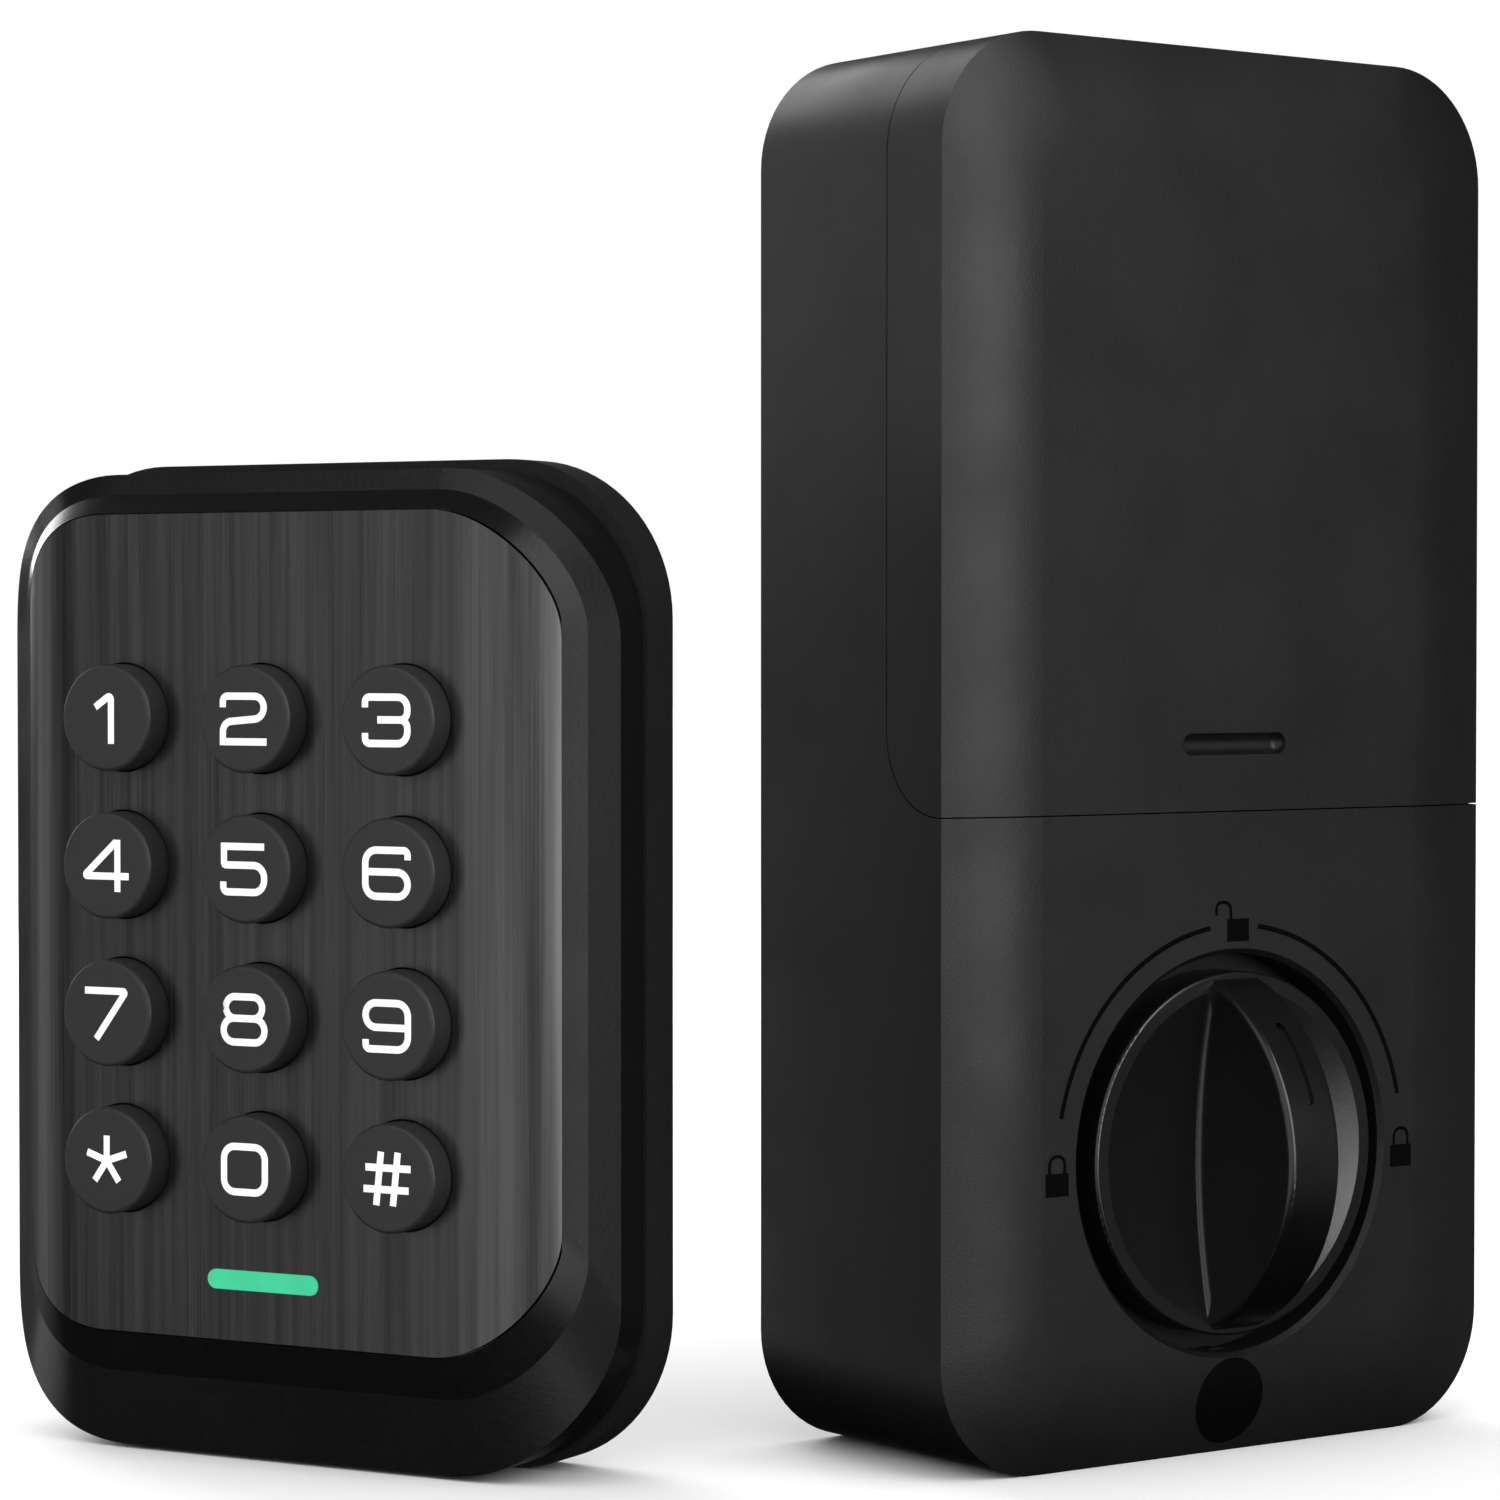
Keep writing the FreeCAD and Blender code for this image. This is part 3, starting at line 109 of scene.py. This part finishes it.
class Nodes:
    """A material's node tree with short calls for the nodes used here."""

    def __init__(self, name, color, rough, metal=0.0, level=0.5):
        self.material = bpy.data.materials.new(name)
        self.material.use_nodes = True
        self.tree = self.material.node_tree
        self.shader = self.tree.nodes["Principled BSDF"]
        self.set("Base Color", (*color, 1))
        self.set("Roughness", rough)
        self.set("Metallic", metal)
        self.set("Specular IOR Level", level)

    def set(self, socket, value):
        self.shader.inputs[socket].default_value = value

    def add(self, kind, **values):
        node = self.tree.nodes.new(kind)
        for name, value in values.items():
            setattr(node, name, value)
        return node

    def link(self, source, target):
        self.tree.links.new(source, target)

    def coordinates(self, scale, yaw=0.0):
        """Object coordinates turned into a unit's own axes and scaled along them."""
        source = self.add("ShaderNodeTexCoord")
        turned = self.add("ShaderNodeMapping")
        turned.inputs["Rotation"].default_value = (0, 0, -yaw)
        scaled = self.add("ShaderNodeVectorMath", operation="MULTIPLY")
        scaled.inputs[1].default_value = scale
        self.link(source.outputs["Object"], turned.inputs["Vector"])
        self.link(turned.outputs["Vector"], scaled.inputs[0])
        return scaled.outputs[0]

    def noise(self, vector, scale=1.0, detail=3.0, rough=0.5):
        node = self.add("ShaderNodeTexNoise")
        node.inputs["Scale"].default_value = scale
        node.inputs["Detail"].default_value = detail
        node.inputs["Roughness"].default_value = rough
        self.link(vector, node.inputs["Vector"])
        return node.outputs["Fac"]

    def spread(self, value, low, high, start=0.3, end=0.7):
        """Maps a noise value from start..end to low..high."""
        node = self.add("ShaderNodeMapRange")
        ends = {"From Min": start, "From Max": end, "To Min": low, "To Max": high}
        for name, number in ends.items():
            node.inputs[name].default_value = number
        self.link(value, node.inputs["Value"])
        return node.outputs["Result"]

    def tint(self, value, dark, light):
        """Colours the surface between dark and light by a value from 0 to 1."""
        node = self.add("ShaderNodeMix", data_type="RGBA")
        node.inputs["A"].default_value = (*dark, 1)
        node.inputs["B"].default_value = (*light, 1)
        self.link(value, node.inputs["Factor"])
        self.link(node.outputs["Result"], self.shader.inputs["Base Color"])

    def bump(self, height, strength, distance):
        node = self.add("ShaderNodeBump")
        node.inputs["Strength"].default_value = strength
        node.inputs["Distance"].default_value = distance
        self.link(height, node.inputs["Height"])
        self.link(node.outputs["Normal"], self.shader.inputs["Normal"])


def grained(name, dark, light, rough, grain, strength, metal=0.0, level=0.5):
    """A moulded or painted finish: grain in relief, in millimetres, and a slow drift in gloss."""
    gloss_drift = 0.06
    m = Nodes(name, light, rough, metal, level)
    fine = m.noise(m.coordinates((1, 1, 1)), 1 / (grain * MM), 2)
    broad = m.noise(m.coordinates((1, 1, 1)), DRIFT_SCALE, 3)
    m.tint(m.spread(fine, 0, 1), dark, light)
    m.link(m.spread(broad, rough - gloss_drift, rough + gloss_drift),
           m.shader.inputs["Roughness"])
    m.bump(fine, strength, grain * MM * GRAIN_RELIEF)
    return m.material


def brushed(name, dark, light, rough, yaw, streak=(0.16, 24), strength=0.12):
    """Metal with streaks that run upwards; streak is their width and length in millimetres."""
    glossier, duller = 0.07, 0.09
    m = Nodes(name, light, rough, 1.0)
    wide, tall = streak
    fine_scale = (1 / (wide * MM), ACROSS_SHEET, 1 / (tall * MM))
    broad_scale = (1 / (wide * BROAD_WIDTH * MM), ACROSS_SHEET, 1 / (tall * BROAD_LENGTH * MM))
    fine = m.noise(m.coordinates(fine_scale, yaw), 1, 2, 0.6)
    broad = m.noise(m.coordinates(broad_scale, yaw), 1, 2)
    blend = m.add("ShaderNodeMath", operation="MULTIPLY_ADD")
    blend.inputs[1].default_value = BROAD_SHARE
    m.link(broad, blend.inputs[0])
    fine_part = m.add("ShaderNodeMath", operation="MULTIPLY")
    fine_part.inputs[1].default_value = 1 - BROAD_SHARE
    m.link(fine, fine_part.inputs[0])
    m.link(fine_part.outputs[0], blend.inputs[2])
    m.tint(m.spread(blend.outputs[0], 0, 1, *STREAK_BAND), dark, light)
    m.link(m.spread(fine, rough - glossier, rough + duller), m.shader.inputs["Roughness"])
    m.bump(fine, strength, STREAK_RELIEF)
    return m.material


def lit(name, color, strength):
    """A frosted light guide that glows, over a faintly clouded surface."""
    m = Nodes(name, color, 0.45)
    cloud = m.noise(m.coordinates((1, 1, 1)), FROST_SCALE, 2)
    dark, light = (tuple(c * part for c in color) for part in FROST_TINTS)
    m.tint(m.spread(cloud, 0, 1), dark, light)
    m.set("Emission Color", (*color, 1))
    m.set("Emission Strength", strength)
    return m.material


def grey(value):
    return (value, value, value)


MATERIALS = {
    # keypad
    "satin_black": grained("satin_black", grey(0.003), grey(0.005), 0.24, 0.5, 0.04),
    "brushed_gunmetal": brushed("brushed_gunmetal", grey(0.075), grey(0.155), 0.34,
                                KEYPAD_YAW, (0.13, 30)),
    "green_light": lit("green_light", (0.038, 0.54, 0.28), 0.9),
    "key_black": grained("key_black", grey(0.014), grey(0.02), 0.42, 0.25, 0.08),
    "silicone": grained("silicone", (0.12, 0.125, 0.135), (0.16, 0.165, 0.18), 0.6, 0.5, 0.1),
    # inside unit
    "textured_black": grained("textured_black", grey(0.003), grey(0.006), 0.42, 0.22, 0.2),
    "satin_black_plastic": grained("satin_black_plastic", grey(0.0015), grey(0.003), 0.27,
                                   0.3, 0.05, level=0.85),
    "cell_wrap": grained("cell_wrap", (0.02, 0.05, 0.14), (0.03, 0.065, 0.18), 0.22, 0.6,
                         0.02),
    "gear_plastic": grained("gear_plastic", (0.66, 0.64, 0.58), (0.74, 0.72, 0.66), 0.38,
                            0.6, 0.05),
    # both
    "black_rubber": grained("black_rubber", grey(0.006), grey(0.01), 0.62, 0.4, 0.15,
                            level=0.3),
    "black_plastic": grained("black_plastic", grey(0.003), grey(0.005), 0.32, 0.3, 0.08,
                             level=0.25),
    "white_plastic": grained("white_plastic", (0.62, 0.6, 0.54), (0.7, 0.68, 0.62), 0.4,
                             0.4, 0.05),
    "circuit_board": grained("circuit_board", (0.006, 0.05, 0.018), (0.012, 0.08, 0.03),
                             0.3, 1.2, 0.1),
    "spring_steel": grained("spring_steel", grey(0.5), grey(0.62), 0.25, 0.4, 0.03, metal=1.0),
    "steel": brushed("steel", grey(0.36), grey(0.5), 0.36, INSIDE_YAW, (0.2, 10), 0.06),
    "cast_zinc": grained("cast_zinc", grey(0.16), grey(0.22), 0.5, 0.8, 0.2, metal=1.0),
    "brass": grained("brass", (0.55, 0.38, 0.14), (0.68, 0.49, 0.2), 0.28, 0.5, 0.04,
                     metal=1.0),
}
WHITE_PRINT = lit("white_print", grey(0.95), 0.8)
GLOSS_PRINT = grained("gloss_print", grey(0.001), grey(0.0015), 0.2, 0.4, 0.02, level=0.1)
DEEP_BLACK = grained("deep_black", grey(0.001), grey(0.002), 0.18, 0.5, 0.02, level=0.12)
SLOTS = {s["node"]: s["material_slot"] for s in RECORD["subparts"]}
for node, obj in NODES.items():
    for index in range(len(obj.material_slots)):
        obj.material_slots[index].material = MATERIALS[SLOTS[node]]
NODES["screw_cover_plug"].material_slots[0].material = DEEP_BLACK


# ------------------------------------------------------------------ mesh helpers
CREASE = math.radians(35)   # edges bent more than this are shaded sharp
SAME_POINT = 0.01           # points nearer than this are one, in millimetres


def place(name, data):
    """A new object in the scene, with the given mesh, lamp or camera."""
    placed = bpy.data.objects.new(name, data)
    bpy.context.scene.collection.objects.link(placed)
    return placed


def add_piece(name, verts, faces, matrix, body, material):
    """A mesh given in a unit's millimetres, put in the frame and riding on a body."""
    mesh = bpy.data.meshes.new(name)
    mesh.from_pydata([matrix @ Vector(v) for v in verts], [], faces)
    bm = bmesh.new()
    bm.from_mesh(mesh)
    bmesh.ops.recalc_face_normals(bm, faces=bm.faces)
    bm.to_mesh(mesh)
    bm.free()
    mesh.shade_smooth()
    mesh.set_sharp_from_angle(angle=CREASE)
    mesh.materials.append(material)
    piece = place(name, mesh)
    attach(piece, body)
    return piece


def softened(corners, radius, closed=False, steps=7):
    """A path through corners whose bends are arcs; a corner may give its own radius."""
    count = len(corners)
    path = []
    for i, corner in enumerate(corners):
        point = Vector(corner[:2])
        bend = corner[2] if len(corner) > 2 else radius
        if (not closed and i in (0, count - 1)) or bend == 0:
            path.append(point)
            continue
        before = Vector(corners[i - 1][:2]) - point
        after = Vector(corners[(i + 1) % count][:2]) - point
        half = before.angle(after) / 2
        reach = min(bend / math.tan(half), before.length * 0.5, after.length * 0.5)
        bend = reach * math.tan(half)
        centre = point + (before.normalized() + after.normalized()).normalized() * (
            bend / math.sin(half))
        start = point + before.normalized() * reach - centre
        turn = start.angle_signed(point + after.normalized() * reach - centre)
        for step in range(steps + 1):
            spun = start.copy()
            spun.rotate(Matrix.Rotation(-turn * step / steps, 2))
            if not path or (path[-1] - centre - spun).length > SAME_POINT:
                path.append(centre + spun)
    return path


def ribbon(path, width, closed=False):
    """The left and right edges of a stroke along a flat path, mitred where it bends."""
    sharpest = 0.4    # keeps the mitre of a tight bend from running out to a spike
    count = len(path)
    left, right = [], []
    for i, point in enumerate(path):
        before = path[i - 1] if closed or i else None
        after = path[(i + 1) % count] if closed or i < count - 1 else None
        into = (point - before).normalized() if before is not None else None
        out = (after - point).normalized() if after is not None else None
        into, out = into or out, out or into
        along = (into + out).normalized()
        normal = Vector((-along.y, along.x))
        reach = width / 2 / max(normal.dot(Vector((-into.y, into.x))), sharpest)
        left.append(point + normal * reach)
        right.append(point - normal * reach)
    return left, right


class Relief:
    """Strokes gathered into one low relief on a unit's front face, which stands at y."""

    SINK = 0.06     # how far the relief reaches under the face, in millimetres
    STEP = 0.002    # each stroke lies this much lower, so that no two tops fall together

    def __init__(self, x, z, y, rise=0.03):
        self.x, self.z, self.y, self.rise = x, z, y, rise
        self.verts, self.faces = [], []

    def band(self, path, width, closed=False):
        """A stroke along a path, raised over the face and closed underneath."""
        edges = list(zip(*ribbon(path, width, closed)))
        first = len(self.verts)
        top, low = self.y - self.rise, self.y + self.SINK
        self.rise -= self.STEP
        for left, right in edges:
            for point, y in ((left, top), (right, top), (right, low), (left, low)):
                self.verts.append((self.x + point.x, y, self.z + point.y))
        count = len(edges)
        for i in range(count if closed else count - 1):
            a, b = first + 4 * i, first + 4 * ((i + 1) % count)
            for k in range(4):
                self.faces.append((a + k, a + (k + 1) % 4, b + (k + 1) % 4, b + k))
        if not closed:
            self.faces.append(tuple(first + k for k in range(4)))
            self.faces.append(tuple(first + 4 * (count - 1) + k for k in range(4)))

    def stroke(self, corners, width, radius=0.0, closed=False):
        """A stroke through corners, whose bends have the given radius."""
        self.band(softened(corners, radius, closed), width, closed)

    def piece(self, name, matrix, body, material):
        return add_piece(name, self.verts, self.faces, matrix, body, material)


def lathe(profile, centre, closed=False, sides=48):
    """Verts and faces of a profile (radius, height) turned round an upright axis.

    A closed profile makes a ring; an open one is capped at both ends.
    """
    verts, faces = [], []
    for radius, height in profile:
        for i in range(sides):
            a = 2 * math.pi * i / sides
            verts.append((centre[0] + radius * math.cos(a), centre[1] + radius * math.sin(a),
                          height))
    count = len(profile)
    for j in range(count if closed else count - 1):
        here, there = j * sides, (j + 1) % count * sides
        for i in range(sides):
            k = (i + 1) % sides
            faces.append((here + i, here + k, there + k, there + i))
    if not closed:
        faces.append(tuple(range(sides)))
        faces.append(tuple((count - 1) * sides + i for i in range(sides)))
    return verts, faces


def tube(points, radius, sides=10):
    """Verts and faces of a wire of round section along points."""
    verts, faces = [], []
    up = Vector((0, 0, 1))
    for i, point in enumerate(points):
        along = (points[min(i + 1, len(points) - 1)] - points[max(i - 1, 0)]).normalized()
        across = along.cross(up).normalized()
        lift = across.cross(along)
        for k in range(sides):
            a = 2 * math.pi * k / sides
            verts.append(tuple(point + (across * math.cos(a) + lift * math.sin(a)) * radius))
    for i in range(len(points) - 1):
        for k in range(sides):
            n = (k + 1) % sides
            faces.append((i * sides + k, i * sides + n, (i + 1) * sides + n, (i + 1) * sides + k))
    faces.append(tuple(range(sides)))
    faces.append(tuple((len(points) - 1) * sides + k for k in range(sides)))
    return verts, faces


# ------------------------------------------------------------------ characters on the keys
# Each stroke is its corners, (x, z) or (x, z, bend), in millimetres from the key's middle,
# and whether it is closed. W and H are half the distances between a digit's outer strokes.
W, H = 2.65, 2.45
TALL = 2.85
STROKE_WIDTH = 0.78
BEND = 1.35
STAR_REACH = 2.75
CHARACTERS = {
    "1": [([(-1.35, 1.15, 0), (0.75, 2.55, 0.3), (0.75, -TALL)], False)],
    "2": [([(-W, 1.25), (-W, H), (W, H), (W, 0.1), (-W, -0.35), (-W, -H, 0),
            (W + 0.35, -H)], False)],
    "3": [([(-W, 1.35), (-W, H), (W, H), (W, 0.05, 0.9), (-1.1, 0.05)], False),
          ([(-1.1, 0.05), (W, 0.05, 0.9), (W, -H), (-W, -H), (-W, -1.35)], False)],
    "4": [([(1.55, TALL), (1.55, -TALL)], False),
          ([(1.35, 2.6, 0), (-2.9, -1.15, 0.15), (3.05, -1.15)], False)],
    "5": [([(W, H), (-W + 0.1, H, 0), (-W + 0.1, 0.45, 0.25), (W, 0.45), (W, -H),
            (-W, -H), (-W, -1.35)], False)],
    "6": [([(W, 1.45), (W, H), (-W, H), (-W, -H), (W, -H), (W, 0.15),
            (-W + 0.35, 0.15)], False)],
    "7": [([(-W - 0.2, H), (W, H, 0.2), (-1.35, -TALL)], False)],
    "8": [([(-W + 0.3, H), (W - 0.3, H), (W - 0.3, 0.12), (-W + 0.3, 0.12)], True),
          ([(-W, 0.12), (W, 0.12), (W, -H), (-W, -H)], True)],
    "9": [([(-W, -1.45), (-W, -H), (W, -H), (W, H), (-W, H), (-W, -0.15),
            (W - 0.35, -0.15)], False)],
    "star": [([(0, 0), (STAR_REACH * math.cos(math.radians(angle)),
                        STAR_REACH * math.sin(math.radians(angle)))], False)
             for angle in (90, 18, -54, -126, 162)],
    "0": [([(-W, H), (W, H), (W, -H), (-W, -H)], True)],
    "hash": [([(-0.75, TALL), (-1.35, -TALL)], False), ([(1.35, TALL), (0.75, -TALL)], False),
             ([(-2.7, 1.15), (2.95, 1.15)], False), ([(-2.95, -1.15), (2.7, -1.15)], False)],
}


def add_characters():
    """One backlit character on each key, riding on that key."""
    for name, strokes in CHARACTERS.items():
        low, high = unit_box("key_" + name, KEYPAD)
        relief = Relief((low.x + high.x) / 2, (low.z + high.z) / 2, low.y)
        for corners, closed in strokes:
            relief.stroke(corners, STROKE_WIDTH, BEND, closed)
        relief.piece("key_%s_character" % name, KEYPAD, "button_" + name, WHITE_PRINT)


# ------------------------------------------------------------------ marks round the thumb turn
ARC_RADIUS, ARC_WIDTH = 25.2, 0.55
ARC_FROM, ARC_TO, ARC_STEPS = 8, 78, 30     # degrees from upright, to either side
LOCK_WIDTH, LOCK_HEIGHT, LOCK_DROP = 3.2, 2.5, 0.75
SHACKLE_WIDTH, SHACKLE_HALF, SHACKLE_BEND = 0.38, 1.05, 1.0
SHACKLE_FOOT, SHACKLE_HEIGHT, SHACKLE_GAP = 0.45, 1.9, 0.5
SIDE_LOCK_Z = -1.1                          # the shut padlocks' height from the knob's middle
OPEN_LOCK = (0.55, ARC_RADIUS + 0.2, -2.1)  # the open one's place, and its shackle's slide


def add_padlock(marks, x, z, slide):
    """A padlock's body and shackle; an open one has its shackle slid sideways."""
    half = LOCK_WIDTH / 2
    marks.stroke([(x - half, z - LOCK_DROP), (x + half, z - LOCK_DROP)], LOCK_HEIGHT)
    foot, head = z + SHACKLE_FOOT, z + SHACKLE_FOOT + SHACKLE_HEIGHT
    free_foot = foot + SHACKLE_GAP if slide else foot
    left, right = x - SHACKLE_HALF + slide, x + SHACKLE_HALF + slide
    marks.stroke([(left, free_foot), (left, head), (right, head), (right, foot)],
                 SHACKLE_WIDTH, SHACKLE_BEND)


def add_turn_marks():
    """Two arcs and three padlocks printed round the thumb turn: open above, shut beside it."""
    marks = Relief(0, KNOB_Z, FRONT_Y, rise=0.04)
    for side in (-1, 1):
        angles = [math.radians(ARC_FROM + (ARC_TO - ARC_FROM) * step / ARC_STEPS)
                  for step in range(ARC_STEPS + 1)]
        marks.band([Vector((side * ARC_RADIUS * math.sin(a), ARC_RADIUS * math.cos(a)))
                    for a in angles], ARC_WIDTH)
    add_padlock(marks, -ARC_RADIUS, SIDE_LOCK_Z, 0)
    add_padlock(marks, ARC_RADIUS, SIDE_LOCK_Z, 0)
    add_padlock(marks, *OPEN_LOCK)
    marks.piece("thumb_turn_marks", INSIDE, "lock", GLOSS_PRINT)


# ------------------------------------------------------------------ cells and their springs
CELLS = ["battery_%d" % number for number in (1, 2, 3, 4)]
BAND_START = 0.68                           # as a part of the cell's length
BAND_HEIGHT = 9                             # this and the rest in millimetres
BAND_THICKNESS, BAND_RISE = 0.2, 0.03
CAP_RADIUS = 2.75
WIRE_RADIUS = 0.4
COIL_TURNS, COIL_STEPS = 4.5, 22
COIL_WIDE, COIL_TAPER = 4.1, 1.5            # radius at the tray, and how much it loses


def add_cells():
    """AA cells: a printed sleeve with rolled ends, and the steel can and cap it leaves bare."""
    for index, node in enumerate(CELLS):
        low, high = unit_box(node, INSIDE)
        centre = ((low.x + high.x) / 2, (low.y + high.y) / 2)
        radius = (high.x - low.x) / 2
        length = high.z - low.z
        cap_up = index % 2 == 0
        base, along = (low.z, 1) if cap_up else (high.z, -1)
        band_low = length * BAND_START
        band_high = band_low + BAND_HEIGHT
        parts = {
            "sleeve": [(radius - 1.1, 0.25), (radius - 0.35, 0.1), (radius - 0.08, 0.3),
                       (radius, 0.7), (radius, length - 2.1), (radius - 0.1, length - 1.6),
                       (radius - 0.5, length - 1.3), (radius - 1.2, length - 1.25)],
            "can": [(radius - 0.9, 0.0), (radius - 0.9, length - 1.2),
                    (CAP_RADIUS, length - 1.15), (CAP_RADIUS, length - 0.2), (2.5, length)],
            "band": [(radius - BAND_THICKNESS, band_low), (radius + BAND_RISE, band_low),
                     (radius + BAND_RISE, band_high), (radius - BAND_THICKNESS, band_high)],
        }
        looks = {"sleeve": "cell_wrap", "can": "spring_steel", "band": "brass"}
        for part, profile in parts.items():
            verts, faces = lathe([(r, base + along * rise) for r, rise in profile], centre,
                                 closed=part == "band")
            piece = add_piece("cell_%d_%s" % (index + 1, part), verts, faces, INSIDE, "lock",
                              MATERIALS[looks[part]])
            if part == "sleeve":
                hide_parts(node)


def add_springs():
    """Conical contact springs, wide against the tray and narrow against the cell."""
    tray_low, tray_high = unit_box("battery_springs", INSIDE)
    verts, faces = [], []
    last = COIL_TURNS * COIL_STEPS
    for index, node in enumerate(CELLS):
        low, high = unit_box(node, INSIDE)
        x, y = (low.x + high.x) / 2, (low.y + high.y) / 2
        start, end = (tray_low.z, low.z) if index % 2 == 0 else (tray_high.z, high.z)
        lift = math.copysign(WIRE_RADIUS, end - start)
        start, end = start + lift, end - lift
        points = []
        for i in range(int(last) + 1):
            part = i / last
            radius = COIL_WIDE - COIL_TAPER * part
            angle = 2 * math.pi * COIL_TURNS * part
            points.append(Vector((x + radius * math.cos(angle), y + radius * math.sin(angle),
                                  start + (end - start) * part)))
        coil, joined = tube(points, WIRE_RADIUS)
        faces += [tuple(v + len(verts) for v in face) for face in joined]
        verts += coil
    coils = add_piece("battery_spring_coils", verts, faces, INSIDE, "lock",
                      MATERIALS["spring_steel"])
    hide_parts("battery_springs")


# ------------------------------------------------------------------ studio
AIM = Vector((0, 0, 0.075))     # what the lamps point at
FLOOR_HALF = 6
OVERHEAD_STRENGTH = 3.55
OVERHEAD_SPREAD = math.radians(150)
PAINTED_SHADE_NEAR, PAINTED_SHADE_FAR = 0.1, 0.6            # where the painted shade round the object fades into white paper, in metres
ROOM = ((0.26, 0), (0.38, 0.12), (0.47, 0.08), (0.6, 0.05), (0.8, 0.04))
# A lamp's name, azimuth (0 is the camera's side, 90 its right), rise above the object,
# distance, size and how bright its face is. Degrees and metres.
LAMPS = (
    ("right_softbox", 50, 20, 0.95, (0.36, 1.15), 3.5),
    ("right_feather", 31, 14, 0.95, (0.18, 1.0), 1.6),
    ("front_fill", -25, 16, 1.0, (1.6, 1.5), 0.7),
    ("left_fill", -108, 0, 1.0, (0.6, 0.8), 0.55),
    ("left_rim", -150, 22, 0.9, (0.5, 0.6), 4.2),
)


def floor_paper_painted_shade():
    """White paper with painted shade: greyer round the object, standing in for its soft shadow, and white where it
    sweeps away.
    """
    m = Nodes("floor_paper_painted_shade", grey(0.9), 0.85, level=0.1)
    distance = m.add("ShaderNodeVectorMath", operation="LENGTH")
    m.link(m.coordinates((1, 1, 0)), distance.inputs[0])
    fibre = m.noise(m.coordinates((1, 1, 1)), 900, 2)
    # painted shade: the paper's colour darkens near the object, where its shadow would fall
    m.tint(m.spread(distance.outputs["Value"], 0, 1, PAINTED_SHADE_NEAR, PAINTED_SHADE_FAR),
           grey(0.86), grey(1))
    m.bump(fibre, 0.02, 0.0001)
    return m.material


def add_floor():
    """The paper under the object; the object's shine doesn't pick it up."""
    mesh = bpy.data.meshes.new("floor")
    bm = bmesh.new()
    bmesh.ops.create_grid(bm, x_segments=1, y_segments=1, size=FLOOR_HALF)
    bm.to_mesh(mesh)
    bm.free()
    floor = place("floor", mesh)
    floor.location.z = CAD_BOX[0].z
    floor.data.materials.append(floor_paper_painted_shade())
    floor.visible_glossy = False


def add_softbox(name, azimuth, rise, distance, size, radiance):
    """A rectangular lamp aimed at the object, which the camera doesn't see."""
    turn, lift = math.radians(azimuth), math.radians(rise)
    away = Vector((math.sin(turn) * math.cos(lift), -math.cos(turn) * math.cos(lift),
                   math.sin(lift)))
    data = bpy.data.lights.new(name, "AREA")
    data.shape = "RECTANGLE"
    data.size, data.size_y = size
    data.energy = radiance * math.pi * size[0] * size[1]
    light = place(name, data)
    light.location = AIM + away * distance
    light.rotation_mode = "QUATERNION"
    light.rotation_quaternion = away.to_track_quat("Z", "Y")
    light.visible_camera = False


def add_overhead():
    """Broad light from above, which whitens the paper and leaves soft shadows at the feet."""
    data = bpy.data.lights.new("overhead", "SUN")
    data.energy = OVERHEAD_STRENGTH
    data.angle = OVERHEAD_SPREAD
    place("overhead", data).visible_glossy = False


def add_world():
    """White behind the object, and a dim room for it to mirror, lightest near the horizon."""
    world = bpy.data.worlds.new("studio")
    bpy.context.scene.world = world
    world.use_nodes = True
    nodes, links = world.node_tree.nodes, world.node_tree.links
    source = nodes.new("ShaderNodeTexCoord")
    parts = nodes.new("ShaderNodeSeparateXYZ")
    height = nodes.new("ShaderNodeMapRange")
    height.inputs["From Min"].default_value = -1
    ramp = nodes.new("ShaderNodeValToRGB")
    stops = ramp.color_ramp.elements
    stops[0].position, stops[1].position = ROOM[0][0], ROOM[-1][0]
    for position, _ in ROOM[1:-1]:
        stops.new(position)
    for stop, (_, value) in zip(stops, ROOM):
        stop.color = (*grey(value), 1)
    room = nodes["Background"]
    paper = nodes.new("ShaderNodeBackground")
    paper.inputs["Color"].default_value = (*grey(1), 1)
    path = nodes.new("ShaderNodeLightPath")
    mix = nodes.new("ShaderNodeMixShader")
    for output, socket in (
            (source.outputs["Generated"], parts.inputs[0]),
            (parts.outputs["Z"], height.inputs["Value"]),
            (height.outputs["Result"], ramp.inputs["Fac"]),
            (ramp.outputs["Color"], room.inputs["Color"]),
            (path.outputs["Is Camera Ray"], mix.inputs[0]),
            (room.outputs[0], mix.inputs[1]),
            (paper.outputs[0], mix.inputs[2]),
            (mix.outputs[0], nodes["World Output"].inputs["Surface"])):
        links.new(output, socket)


# ------------------------------------------------------------------ camera
CAMERA_PLACE = (-0.00029, -0.52058, 0.0895)     # metres
CAMERA_DIP = 1.32                               # degrees below level
FOCAL_LENGTH, SENSOR_WIDTH = 110.5, 36          # millimetres


def add_camera():
    data = bpy.data.cameras.new("camera")
    data.lens = FOCAL_LENGTH
    data.sensor_width = SENSOR_WIDTH
    camera = place("camera", data)
    camera.location = CAMERA_PLACE
    camera.rotation_euler = (math.radians(90 - CAMERA_DIP), 0, 0)
    bpy.context.scene.camera = camera


add_characters()
add_turn_marks()
add_cells()
add_springs()
add_floor()
add_world()
add_overhead()
for lamp in LAMPS:
    add_softbox(*lamp)
add_camera()
bpy.context.scene.view_settings.view_transform = "Standard"
